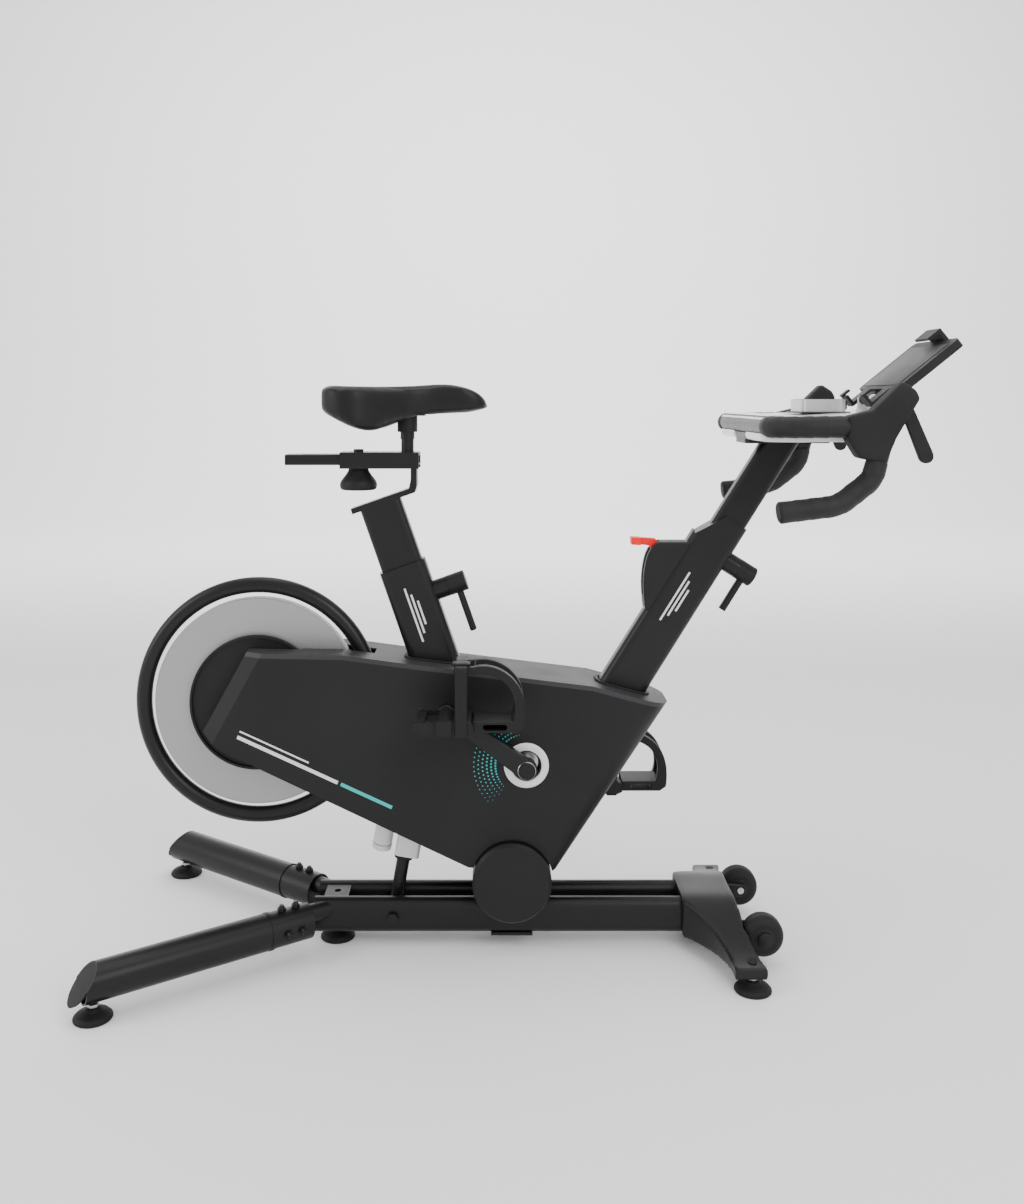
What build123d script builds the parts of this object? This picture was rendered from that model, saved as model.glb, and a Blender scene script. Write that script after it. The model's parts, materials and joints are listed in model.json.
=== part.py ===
from build123d import *
import os
from math import cos, sin, radians

os.makedirs("parts", exist_ok=True)

# ---------------------------------------------------------------- driving dimensions
# Frame: +X forward, +Y to the rider's left, +Z up, floor at Z = 0.
fit = 0.05               # radial running clearance of a shaft in its hole
gap = 0.3                # clearance between faces of different moving parts

# base
beam_height = 60
beam_width = 30
beam_y = 34              # centre plane of each beam
beam_z = 57
beam_rear = -390
beam_front = 300
tube_wall = 2.5
leg_radius = 30
leg_splay = 35           # angle of each rear leg from straight back
leg_start = (-398, 60)   # inner end of a leg, X and Y
leg_length = 385.46      # brings the centre of the whole length to X = 0
socket_length = 72
spigot_radius = 15
spigot_z = 68
foot_radius = 30
foot_z = 14
stud_radius = 6
pivot_x = -42
pivot_z = 128
shaft_radius = 12.5
cap_radius = 69
cap_inner_y = 41
cap_outer_y = 82
wheel_radius = 35
wheel_x = 386
wheel_z = 51
wheel_y = 99
wheel_width = 38
axle_radius = 6

# tilting frame
crank_x = -17
crank_z = 330
crank_length = 170
crank_angle = 35.4       # right crank above the rearward horizontal
flywheel_x = -496
flywheel_z = 427
flywheel_radius = 184
flywheel_half = 11
cover_radius = 119
guard_radius = 206       # centreline of the guard tube
guard_tube = 14
shroud_half = 68
shroud_wall = 2.5
top_depth = 8            # depth of the top cover's skirt
belt_y = 33
belt_width = 14
belt_thick = 2.5
pulley_radius = 95
small_pulley_radius = 24
stay_y = 47
stay_thick = 6

# seat
seat_lean = -19.4        # degrees from vertical, forward positive
seat_top = (-238, 668)   # centre of the seat tube's upper end
seat_outer = (85, 48)
seat_inner = (75, 38)
seat_post_up = 117       # visible length of the post
seat_post_in = 170       # hidden length of the post
rail_x = (-446, -208)
rail_z = (849, 868)
rail_half = 22
knob_x = -317
stem_x = -229

# handlebar
head_lean = 32.1
head_top = (345, 754)
head_outer = (81, 46)
head_inner = (57, 36)
head_offset = 8          # the post sits ahead of the tube's centre
bar_post_up = 170
bar_post_in = 150
bar_radius = 16.5
bar_z = 922
bar_y = 226
bar_x = 382
panel_tilt = 38.8
panel_low = (614, 985)
panel_length = 139
panel_half = 104
panel_thick = 15

# incline actuator
act_x = -251
act_z = 56
act_lean = 9.9
act_length = 300         # lower bolt to upper pin
rod_radius = 11.75
pin_radius = 6
eye_slack = 2.0          # clearance of the rod's eye round the lower bolt


def write(piece, label):
    piece.part.label = label
    export_step(piece.part, f"parts/{label}.step")


def across(x, z, lean):
    """Plane square to a member that leans forward by lean degrees; local x points forward."""
    a = radians(lean)
    return Plane(origin=(x, 0, z), x_dir=(cos(a), 0, -sin(a)), z_dir=(sin(a), 0, cos(a)))


def along(x, z, lean, distance, offset=0):
    """Point at a distance up a leaning axis, and an offset ahead of it, as X and Z."""
    a = radians(lean)
    return (x + distance * sin(a) + offset * cos(a), z + distance * cos(a) - offset * sin(a))


def side_plane(y):
    """Plane of a side view at the given Y; local axes are X and Z."""
    return Plane(origin=(0, y, 0), x_dir=(1, 0, 0), z_dir=(0, -1, 0))


def bar_between(p, q, half_a, half_b):
    """Corners of a side-view member from p to q with a half-width at each end."""
    d = Vector(q[0] - p[0], q[1] - p[1]).normalized()
    n = Vector(-d.Y, d.X)
    return [
        (p[0] + n.X * half_a, p[1] + n.Y * half_a),
        (q[0] + n.X * half_b, q[1] + n.Y * half_b),
        (q[0] - n.X * half_b, q[1] - n.Y * half_b),
        (p[0] - n.X * half_a, p[1] - n.Y * half_a),
    ]


sides = (("right", -1), ("left", 1))
leg_dir = (-cos(radians(leg_splay)), sin(radians(leg_splay)))


def leg_point(distance, side):
    return (leg_start[0] + leg_dir[0] * distance, side * (leg_start[1] + leg_dir[1] * distance))


def leg_plane(distance, side, z=beam_z):
    x, y = leg_point(distance, side)
    return Plane(origin=(x, y, z), x_dir=(0, 0, 1), z_dir=(leg_dir[0], side * leg_dir[1], 0))


rear_foot_at = 368       # distance of the rear foot along its leg
front_foot = (350, 187)
middle_foot = (-354, 0)

# ---------------------------------------------------------------- base frame
with BuildPart() as base_frame:
    with BuildSketch(Plane.YZ.offset(beam_rear)):
        with Locations((beam_y, beam_z), (-beam_y, beam_z)):
            SlotOverall(beam_height, beam_width, rotation=90)
    extrude(amount=beam_front - beam_rear)
    # rear cross plates with the nut of the middle foot
    with Locations((middle_foot[0], 0, beam_z + beam_height / 2 - 7)):
        Box(43, 2 * beam_y + 2, 6)
    with Locations((middle_foot[0], 0, beam_z - beam_height / 2 + 7)):
        Box(43, 2 * beam_y + 2, 8)
    # flat plate under the pivot
    with Locations((pivot_x, 0, beam_z - beam_height / 2 - 1)):
        Box(73, 2 * beam_y + 24, 5)
    # lugs that hold the pivot shaft
    for side in (-1, 1):
        with BuildSketch(side_plane(side * 30)):
            with Locations((pivot_x, pivot_z)):
                Circle(40)
            with BuildLine():
                Polyline((pivot_x - 40, pivot_z), (pivot_x - 62, beam_z), (pivot_x + 62, beam_z),
                         (pivot_x + 40, pivot_z), close=True)
            make_face()
        extrude(amount=-side * 10)
    # spigots that carry the rear legs
    for side in (-1, 1):
        with BuildSketch(leg_plane(-45, side, spigot_z)):
            Circle(spigot_radius)
        extrude(amount=45 + socket_length)
        with BuildSketch(leg_plane(4, side)):
            Circle(leg_radius - tube_wall)
        extrude(amount=8)
        with BuildSketch(leg_plane(socket_length - 10, side)):
            Circle(leg_radius - tube_wall)
        extrude(amount=8)
    # hollow beams
    with BuildSketch(Plane.YZ.offset(beam_rear + tube_wall)):
        with Locations((beam_y, beam_z), (-beam_y, beam_z)):
            SlotOverall(beam_height - 2 * tube_wall, beam_width - 2 * tube_wall, rotation=90)
    extrude(amount=beam_front - beam_rear, mode=Mode.SUBTRACT)
    # seats of the round pivot caps
    for side in (-1, 1):
        with BuildSketch(side_plane(side * cap_inner_y)):
            with Locations((pivot_x, pivot_z)):
                Circle(cap_radius)
        extrude(amount=-side * 60, mode=Mode.SUBTRACT)
    with BuildSketch(side_plane(0)):
        with Locations((pivot_x, pivot_z)):
            Circle(shaft_radius)
        with Locations((act_x, act_z)):
            Circle(pin_radius)
    extrude(amount=80, both=True, mode=Mode.SUBTRACT)
    with Locations((middle_foot[0], 0, beam_z)):
        Cylinder(stud_radius + fit, beam_height + 20, mode=Mode.SUBTRACT)
write(base_frame, "base_frame")

for name, side in sides:
    with BuildPart() as rear_leg:
        with BuildSketch(leg_plane(0, side)):
            Circle(leg_radius - 0.6)
        extrude(amount=socket_length)
        with BuildSketch(leg_plane(socket_length, side)):
            Circle(leg_radius)
        extrude(amount=leg_length - socket_length)
        with BuildSketch(leg_plane(socket_length, side)):
            Circle(leg_radius + 1)
        extrude(amount=6)
        with BuildSketch(leg_plane(-1, side)):
            Circle(leg_radius - tube_wall)
        extrude(amount=leg_length + 2, mode=Mode.SUBTRACT)
        # raked end: the underside reaches further out
        end = leg_plane(leg_length, side)
        rake = Plane(origin=end.origin, x_dir=end.y_dir, z_dir=end.z_dir + end.x_dir * 0.75)
        split(bisect_by=rake, keep=Keep.BOTTOM)
        x, y = leg_point(rear_foot_at, side)
        with Locations((x, y, beam_z - leg_radius)):
            Cylinder(stud_radius + fit, 20, mode=Mode.SUBTRACT)
    write(rear_leg, f"rear_leg_{name}")

with BuildPart() as leg_end_caps:
    for side in (-1, 1):
        with BuildSketch(leg_plane(leg_length - 60, side)):
            Circle(leg_radius - tube_wall)
        extrude(amount=100)
    for side in (-1, 1):
        end = leg_plane(leg_length, side)
        rake = Plane(origin=end.origin, x_dir=end.y_dir, z_dir=end.z_dir + end.x_dir * 0.75)
        with BuildSketch(rake):
            Circle(90)
        extrude(amount=90, mode=Mode.SUBTRACT)
        with BuildSketch(rake.offset(-3)):
            Circle(90)
        extrude(amount=-90, mode=Mode.SUBTRACT)
write(leg_end_caps, "leg_end_caps")

# domed bolts, two above and two on the inner flank of each leg socket, and the actuator's lower bolt
with BuildPart() as base_bolts:
    for side in (-1, 1):
        for distance in (24, 50):
            for turn in (0, 90 * side):
                spot = leg_plane(distance, side)
                a = radians(turn)
                out = spot.x_dir * cos(a) + spot.y_dir * sin(a)
                head = Plane(origin=spot.origin + out * (leg_radius - 0.6), z_dir=out)
                with BuildSketch(head):
                    RegularPolygon(7.5, 6)
                extrude(amount=5)
                with BuildSketch(head.offset(5)):
                    Circle(5.5)
                extrude(amount=5, taper=22)
    with BuildSketch(side_plane(0)):
        with Locations((act_x, act_z)):
            Circle(pin_radius)
    extrude(amount=beam_y + beam_width / 2, both=True)
    for side in (-1, 1):
        with BuildSketch(side_plane(side * (beam_y + beam_width / 2))):
            with Locations((act_x, act_z)):
                RegularPolygon(10, 6)
        extrude(amount=-side * 7)
write(base_bolts, "base_bolts")


with BuildPart() as front_stabiliser:
    # top view: straight ends, gently bowed front edge, hollowed rear edges
    with BuildSketch(Plane.XY.offset(27)):
        with BuildLine():
            ThreePointArc((372, -208), (348, 0), (372, 208))
            Line((372, 208), (318, 208))
            ThreePointArc((318, 208), (302, 126), (256, 60))
            Line((256, 60), (256, -60))
            ThreePointArc((256, -60), (302, -126), (318, -208))
            Line((318, -208), (372, -208))
        make_face()
    extrude(amount=70)
    # arched front view: high in the middle, low at the ends
    for side in (-1, 1):
        with BuildSketch(Plane.YZ.offset(200)):
            with BuildLine():
                Line((side * 230, 45), (side * 209, 45))
                Spline((side * 209, 45), (side * 150, 55), (side * 100, 76), (side * 66, 90), (0, 95.5),
                       tangents=((-side, 0), (-side, 0)))
                Polyline((0, 95.5), (0, 120), (side * 230, 120), (side * 230, 45))
            make_face()
        extrude(amount=250, mode=Mode.SUBTRACT)
    # beam ends
    with BuildSketch(Plane.YZ.offset(240)):
        with Locations((beam_y, beam_z), (-beam_y, beam_z)):
            SlotOverall(beam_height, beam_width, rotation=90)
    extrude(amount=beam_front - 240, mode=Mode.SUBTRACT)
    for y in (-front_foot[1], front_foot[1]):
        with Locations((front_foot[0], y, 24)):
            Cylinder(stud_radius + fit, 60, mode=Mode.SUBTRACT)
    # ears of the transport wheels and the room the wheels need
    for side in (-1, 1):
        with BuildSketch(side_plane(side * (wheel_y - wheel_width / 2 - 1))):
            with BuildLine():
                Polyline((330, 66), (wheel_x, wheel_z + 12), (wheel_x, wheel_z - 12), (330, 30), close=True)
            make_face()
            with Locations((wheel_x, wheel_z)):
                Circle(12)
        extrude(amount=side * 8)
        with BuildSketch(side_plane(side * (wheel_y - wheel_width / 2 - 1))):
            with Locations((wheel_x, wheel_z)):
                Circle(wheel_radius + 4)
        extrude(amount=-side * (wheel_width + 2), mode=Mode.SUBTRACT)
    with BuildSketch(side_plane(0)):
        with Locations((wheel_x, wheel_z)):
            Circle(axle_radius)
    extrude(amount=200, both=True, mode=Mode.SUBTRACT)
write(front_stabiliser, "front_stabiliser")

with BuildPart() as wheel_axles:
    for side in (-1, 1):
        with BuildSketch(side_plane(side * (wheel_y - wheel_width / 2 - 9))):
            with Locations((wheel_x, wheel_z)):
                Circle(axle_radius)
        extrude(amount=-side * (wheel_width + 10))
        with BuildSketch(side_plane(side * (wheel_y + wheel_width / 2 + 1))):
            with Locations((wheel_x, wheel_z)):
                Circle(10)
        extrude(amount=-side * 4)
write(wheel_axles, "wheel_axles")

for name, side in sides:
    with BuildPart() as transport_wheel:
        with BuildSketch(side_plane(side * wheel_y)):
            with Locations((wheel_x, wheel_z)):
                Circle(wheel_radius)
        extrude(amount=wheel_width / 2, both=True)
        fillet(transport_wheel.edges().filter_by(GeomType.CIRCLE), 14)
        with BuildSketch(side_plane(side * wheel_y)):
            with Locations((wheel_x, wheel_z)):
                Circle(axle_radius + fit)
        extrude(amount=wheel_width, both=True, mode=Mode.SUBTRACT)
    write(transport_wheel, f"transport_wheel_{name}")

feet = {
    "foot_rear_right": leg_point(rear_foot_at, -1),
    "foot_rear_left": leg_point(rear_foot_at, 1),
    "foot_middle": middle_foot,
    "foot_front_right": (front_foot[0], -front_foot[1]),
    "foot_front_left": front_foot,
}
for name, (x, y) in feet.items():
    with BuildPart() as foot:
        with BuildSketch(Plane(origin=(x, y, 0), x_dir=(1, 0, 0), z_dir=(0, -1, 0))):
            with BuildLine():
                Polyline((0, 0), (foot_radius - 2, 0), (foot_radius, 2), (foot_radius, 5),
                         (foot_radius - 4, 9), (14, foot_z), (10, foot_z + 4), (stud_radius, foot_z + 4),
                         (stud_radius, 46), (0, 46), close=True)
            make_face()
        revolve(axis=Axis((x, y, 0), (0, 0, 1)))
    write(foot, name)

with BuildPart() as pivot_shaft:
    with BuildSketch(side_plane(0)):
        with Locations((pivot_x, pivot_z)):
            Circle(shaft_radius)
    extrude(amount=52, both=True)
    for side in (-1, 1):
        with BuildSketch(side_plane(side * 52)):
            with Locations((pivot_x, pivot_z)):
                RegularPolygon(16, 6)
        extrude(amount=-side * 10)
write(pivot_shaft, "pivot_shaft")

with BuildPart() as pivot_caps:
    for side in (-1, 1):
        with BuildSketch(side_plane(side * cap_inner_y)):
            with Locations((pivot_x, pivot_z)):
                Circle(cap_radius)
        extrude(amount=-side * (cap_outer_y - cap_inner_y))
    chamfer(pivot_caps.edges().filter_by(lambda e: abs(abs(e.center().Y) - cap_outer_y) < 0.1), 4.5)
    for side in (-1, 1):
        with BuildSketch(side_plane(side * cap_inner_y)):
            with Locations((pivot_x, pivot_z)):
                Circle(cap_radius - 4)
        extrude(amount=-side * (cap_outer_y - cap_inner_y - 4), mode=Mode.SUBTRACT)
write(pivot_caps, "pivot_caps")


def seat_slot(size, radius, start, length, clear=0.0):
    """Sketch-and-extrude of the seat tube's section, start measured up from its upper end."""
    x, z = along(*seat_top, seat_lean, start)
    with BuildPart(mode=Mode.PRIVATE) as prism:
        with BuildSketch(across(x, z, seat_lean)):
            RectangleRounded(size[0] + 2 * clear, size[1] + 2 * clear, radius + clear)
        extrude(amount=length)
    return prism.part


def head_slot(size, radius, start, length, ahead=0.0, clear=0.0):
    """Sketch-and-extrude of the head tube's section, start measured up from its upper end."""
    x, z = along(*head_top, head_lean, start, ahead)
    with BuildPart(mode=Mode.PRIVATE) as prism:
        with BuildSketch(across(x, z, head_lean)):
            RectangleRounded(size[0] + 2 * clear, size[1] + 2 * clear, radius + clear)
        extrude(amount=length)
    return prism.part


# ---------------------------------------------------------------- tilting frame
block_x = (-165, -128)
block_z = (318, 402)
head_foot = along(*head_top, head_lean, -430)
act_pin = along(act_x, act_z, act_lean, act_length)
guard_top_end = 15       # degrees, guard ends inside the shroud
guard_low_end = -40


def on_guard(degrees):
    a = radians(degrees)
    return (flywheel_x + guard_radius * cos(a), flywheel_z + guard_radius * sin(a))


with BuildPart() as main_frame:
    # spine from the pivot hub past the crank shell to the tubes
    with BuildSketch(side_plane(0)):
        with BuildLine():
            Polyline(bar_between((pivot_x, pivot_z), (crank_x, crank_z), 28, 30), close=True)
        make_face()
        with BuildLine():
            Polyline((crank_x, crank_z + 30), (block_x[1] - 4, block_z[1]), (block_x[1] - 4, block_z[0]),
                     (crank_x - 10, crank_z - 30), close=True)
        make_face()
        with BuildLine():
            Polyline((crank_x - 10, crank_z + 28), (head_foot[0] - 30, head_foot[1] + 20),
                     (head_foot[0] + 30, head_foot[1] - 14), (crank_x + 10, crank_z - 28), close=True)
        make_face()
    extrude(amount=19, both=True)
    with BuildSketch(side_plane(0)):
        with Locations((pivot_x, pivot_z)):
            Circle(30)
    extrude(amount=28, both=True)
    # crank shell, offset to leave room for the belt on the left
    with BuildSketch(side_plane(-50)):
        with Locations((crank_x, crank_z)):
            Circle(30)
    extrude(amount=-72)
    # cross block behind the crank shell
    with BuildSketch(side_plane(0)):
        with BuildLine():
            Polyline((block_x[0], block_z[0]), (block_x[1], block_z[0]), (block_x[1], block_z[1]),
                     (block_x[0], block_z[1]), close=True)
        make_face()
    extrude(amount=stay_y + stay_thick / 2, both=True)
    # stays to the flywheel axle with tabs for the ends of the guard
    upper = on_guard(guard_top_end)
    lower = on_guard(guard_low_end)
    for side in (-1, 1):
        with BuildSketch(side_plane(side * (stay_y - stay_thick / 2))):
            with BuildLine():
                Polyline((block_x[1], block_z[0]), (block_x[1], block_z[1]),
                         (flywheel_x, flywheel_z + 24), (flywheel_x, flywheel_z - 24), close=True)
            make_face()
            with Locations((flywheel_x, flywheel_z)):
                Circle(24)
            with BuildLine():
                Polyline(bar_between((upper[0] + 10, flywheel_z - 20), upper, 26, 12), close=True)
            make_face()
            with BuildLine():
                Polyline(bar_between((lower[0] + 25, flywheel_z - 50), lower, 30, 34), close=True)
            make_face()
        extrude(amount=-side * stay_thick)
    for spot in (upper, lower):
        with BuildSketch(side_plane(0)):
            with Locations(spot):
                Circle(9)
        extrude(amount=stay_y, both=True)
    # pin of the magnet bracket
    with BuildSketch(side_plane(0)):
        with Locations((-262, 384)):
            Circle(pin_radius)
    extrude(amount=stay_y, both=True)
    # ears and pin of the actuator's upper eye
    for side in (-1, 1):
        with BuildSketch(side_plane(side * 23)):
            with BuildLine():
                Polyline(bar_between((block_x[0] + 2, act_pin[1] + 6), act_pin, 26, 15), close=True)
            make_face()
            with Locations(act_pin):
                Circle(15)
        extrude(amount=-side * 6)
    with BuildSketch(side_plane(0)):
        with Locations(act_pin):
            Circle(pin_radius)
    extrude(amount=28, both=True)
    # bores
    with BuildSketch(side_plane(0)):
        with Locations((pivot_x, pivot_z)):
            Circle(16)
        with Locations((crank_x, crank_z)):
            Circle(21)
        with Locations((flywheel_x, flywheel_z)):
            Circle(7.5)
    extrude(amount=80, both=True, mode=Mode.SUBTRACT)
    add(head_slot(head_outer, 15, -430, 430), mode=Mode.SUBTRACT)
write(main_frame, "main_frame")

# bushes of the pivot, ball bearings of the crank and of the flywheel
with BuildPart() as bearings:
    for y in (-28, 18):
        with BuildSketch(side_plane(y + 10)):
            with Locations((pivot_x, pivot_z)):
                Circle(16)
                Circle(shaft_radius + fit, mode=Mode.SUBTRACT)
        extrude(amount=10)
    for y in (-50, 8):
        with BuildSketch(side_plane(y + 14)):
            with Locations((crank_x, crank_z)):
                Circle(21)
                Circle(10 + fit, mode=Mode.SUBTRACT)
        extrude(amount=14)
write(bearings, "bearings")

with BuildPart() as flywheel_axle:
    with BuildSketch(side_plane(0)):
        with Locations((flywheel_x, flywheel_z)):
            Circle(7.5)
    extrude(amount=56, both=True)
    for side in (-1, 1):
        with BuildSketch(side_plane(side * (stay_y + stay_thick / 2))):
            with Locations((flywheel_x, flywheel_z)):
                RegularPolygon(12, 6)
        extrude(amount=-side * 8)
write(flywheel_axle, "flywheel_axle")


seat_boss_down = 62      # centre of the clamp boss below the tube's upper end
head_boss_down = 67
boss_radius = 18
screw_radius = 5

with BuildPart() as seat_tube:
    add(seat_slot(seat_outer, 15, -310, 310))
    boss = along(*seat_top, seat_lean, -seat_boss_down, seat_outer[0] / 2 - 6)
    with BuildSketch(Plane(origin=(boss[0], 0, boss[1]), z_dir=across(*boss, seat_lean).x_dir)):
        Circle(boss_radius)
    extrude(amount=30)
    add(seat_slot(seat_inner, 10, -290, 300, 0.25), mode=Mode.SUBTRACT)
    with BuildSketch(side_plane(0)):
        with BuildLine():
            Polyline((-400, 250), (0, 250), (0, block_z[1]), (-400, block_z[1]), close=True)
        make_face()
    extrude(amount=60, both=True, mode=Mode.SUBTRACT)
    with BuildSketch(Plane(origin=(boss[0], 0, boss[1]), z_dir=across(*boss, seat_lean).x_dir)):
        Circle(screw_radius + fit)
    extrude(amount=60, mode=Mode.SUBTRACT)
write(seat_tube, "seat_tube")

with BuildPart() as head_tube:
    add(head_slot(head_outer, 15, -430, 430))
    boss = along(*head_top, head_lean, -head_boss_down, head_outer[0] / 2 - 6)
    with BuildSketch(Plane(origin=(boss[0], 0, boss[1]), z_dir=across(*boss, head_lean).x_dir)):
        Circle(boss_radius)
    extrude(amount=30)
    # level top with a sloped shoulder behind the post
    shoulder = along(*head_top, head_lean, 0)
    with BuildSketch(side_plane(0)):
        with BuildLine():
            Polyline((shoulder[0] - 60, shoulder[1] - 26), (shoulder[0] - 8, shoulder[1] + 2),
                     (shoulder[0] + 90, shoulder[1] + 2), (shoulder[0] + 90, shoulder[1] + 70),
                     (shoulder[0] - 60, shoulder[1] + 70), close=True)
        make_face()
    extrude(amount=60, both=True, mode=Mode.SUBTRACT)
    add(head_slot(head_inner, 10, -250, 300, head_offset, 0.25), mode=Mode.SUBTRACT)
    add(head_slot((head_outer[0] - 6, head_outer[1] - 6), 12, -427, 170), mode=Mode.SUBTRACT)
    with BuildSketch(Plane(origin=(boss[0], 0, boss[1]), z_dir=across(*boss, head_lean).x_dir)):
        Circle(screw_radius + fit)
    extrude(amount=60, mode=Mode.SUBTRACT)
write(head_tube, "head_tube")

# ---------------------------------------------------------------- shroud
shroud_top_line = [(-507, 524), (-338, 521), (-233, 507), (98, 467), (234, 431)]
shroud_low_line = [(38, 137), (-118, 152), (-554, 357), (-584, 384)]
nose_lean = 33.7
rear_lean = 28.8


def cowl(inset):
    """Closed shape of the shroud, with a rounded nose and chamfered rear edges."""
    with BuildPart(mode=Mode.PRIVATE) as body:
        with BuildSketch(side_plane(0)):
            with BuildLine():
                Polyline(*shroud_top_line, *shroud_low_line, close=True)
            outline = make_face()
            fillet(outline.vertices().sort_by_distance((-584, 0, 384))[0], 14)
            offset(amount=-inset, mode=Mode.REPLACE)
        extrude(amount=shroud_half - inset, both=True)
        nose = across(*shroud_low_line[0], nose_lean).offset(-300)
        with BuildSketch(nose):
            with Locations((-inset, 0)):
                Rectangle(1600, 2 * (shroud_half - inset), align=(Align.MAX, Align.CENTER))
            fillet(nose_corners(vertices()), 46 - inset)
        extrude(amount=1200, mode=Mode.INTERSECT)
        rear = across(*shroud_low_line[3], rear_lean).offset(-600)
        with BuildSketch(rear):
            with Locations((inset, 0)):
                Rectangle(1600, 2 * (shroud_half - inset), align=(Align.MIN, Align.CENTER))
            chamfer(rear_corners(vertices()), 15, 26)
        extrude(amount=1400, mode=Mode.INTERSECT)
    return body.part


def nose_corners(points):
    return points.group_by(Axis.X)[-1]


def rear_corners(points):
    return points.group_by(Axis.X)[0]


def below_top(depth):
    """Region under the shroud's top line lowered by depth."""
    pts = [(x, z - depth) for x, z in shroud_top_line]
    with BuildPart(mode=Mode.PRIVATE) as region:
        with BuildSketch(side_plane(0)):
            with BuildLine():
                Polyline((-700, pts[0][1]), *pts, (400, pts[-1][1] - 40), (400, 0), (-700, 0), close=True)
            make_face()
        extrude(amount=100, both=True)
    return region.part


def openings():
    """Room for the flywheel, the hub covers, the actuator, the pivot and the crank axle."""
    with BuildPart(mode=Mode.PRIVATE) as cut:
        with Locations((-466, 0, 500)):
            Box(360, 38, 400)
        with Locations((-520, 0, 560)):
            Box(210, 52, 200)
        with BuildSketch(side_plane(0)):
            with BuildLine():
                Polyline((-620, 500), (-420, 500), (-400, 330), (-165, 230), (-165, 100), (-620, 100), close=True)
            make_face()
        extrude(amount=30, both=True)
        with BuildSketch(side_plane(0)):
            with BuildLine():
                Polyline((-640, 505), (-512, 505), (-585, 368), (-560, 340), (-420, 270), (-640, 270), close=True)
            make_face()
        extrude(amount=44, both=True)
        with BuildSketch(side_plane(0)):
            with Locations((pivot_x, pivot_z)):
                Circle(cap_radius + 2)
            with Locations((crank_x, crank_z)):
                Circle(24)
        extrude(amount=90, both=True)
        with BuildSketch(inlet_plane.offset(-30)):
            Circle(10)
        extrude(amount=60)
    return cut.part


inlet_x, inlet_z = along(*shroud_low_line[0], nose_lean, 60, 1.5)
inlet_plane = Plane(origin=(inlet_x, 0, inlet_z), z_dir=across(0, 0, nose_lean).x_dir)
cut_room = openings()
outer = cowl(0)
inner = cowl(shroud_wall)
lowered = below_top(top_depth)

with BuildPart() as shroud_shell:
    add(outer)
    add(inner, mode=Mode.SUBTRACT)
    add(lowered, mode=Mode.INTERSECT)
    add(cut_room, mode=Mode.SUBTRACT)

for name, side in sides:
    with BuildPart() as shroud_side:
        add(shroud_shell.part)
        split(bisect_by=Plane.XZ, keep=Keep.TOP if side < 0 else Keep.BOTTOM)
    write(shroud_side, f"shroud_{name}")

with BuildPart() as shroud_top:
    add(outer)
    add(inner, mode=Mode.SUBTRACT)
    add(lowered, mode=Mode.SUBTRACT)
    add(cut_room, mode=Mode.SUBTRACT)
    add(seat_slot(seat_outer, 15, -300, 300, 1.0), mode=Mode.SUBTRACT)
    add(head_slot(head_outer, 15, -420, 400, 0, 1.0), mode=Mode.SUBTRACT)
write(shroud_top, "shroud_top")

# round covers of the flywheel hub, each held by one arm and a stand-off on a stay
with BuildPart() as hub_covers:
    for side in (-1, 1):
        with BuildSketch(side_plane(side * 15)):
            with Locations((flywheel_x, flywheel_z)):
                Circle(cover_radius)
            with BuildLine():
                Polyline(bar_between((flywheel_x + 70, flywheel_z - 70), (lower[0] - 14, lower[1] + 11), 14, 12),
                         close=True)
            make_face()
            with Locations((flywheel_x, flywheel_z)):
                Circle(34, mode=Mode.SUBTRACT)
        extrude(amount=-side * 4)
        with BuildSketch(side_plane(side * 15)):
            with Locations((flywheel_x, flywheel_z)):
                Circle(cover_radius)
                Circle(cover_radius - 4, mode=Mode.SUBTRACT)
        extrude(amount=-side * 9)
        with BuildSketch(side_plane(side * 19)):
            with Locations((lower[0] - 22, lower[1] + 17)):
                Circle(6)
        extrude(amount=-side * (stay_y - stay_thick / 2 - 19))
write(hub_covers, "hub_covers")

with BuildPart() as flywheel_guard:
    with BuildLine() as guard_line:
        CenterArc((0, 0), guard_radius, guard_top_end, 360 + guard_low_end - guard_top_end)
    guard_path = Plane(origin=(flywheel_x, 0, flywheel_z), x_dir=(1, 0, 0), z_dir=(0, -1, 0)) * guard_line.line
    with BuildSketch(Plane(origin=guard_path @ 0, z_dir=guard_path % 0)):
        Circle(guard_tube)
        Circle(guard_tube - 2.5, mode=Mode.SUBTRACT)
    sweep(path=guard_path)
    for spot in (upper, lower):
        with BuildSketch(side_plane(0)):
            with Locations(spot):
                Circle(9)
        extrude(amount=stay_y, both=True, mode=Mode.SUBTRACT)
write(flywheel_guard, "flywheel_guard")

with BuildPart() as power_inlet:
    with BuildSketch(inlet_plane):
        Circle(10)
    extrude(amount=-20)
    with BuildSketch(inlet_plane):
        Circle(5)
        Circle(1.2, mode=Mode.SUBTRACT)
    extrude(amount=-12, mode=Mode.SUBTRACT)
write(power_inlet, "power_inlet")

# ---------------------------------------------------------------- resistance control
lever_pivot = (231, 672)
cover_line = [(196, 591), (193, 628), (197, 675), (205, 697), (220, 712), (292, 712)]

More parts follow.
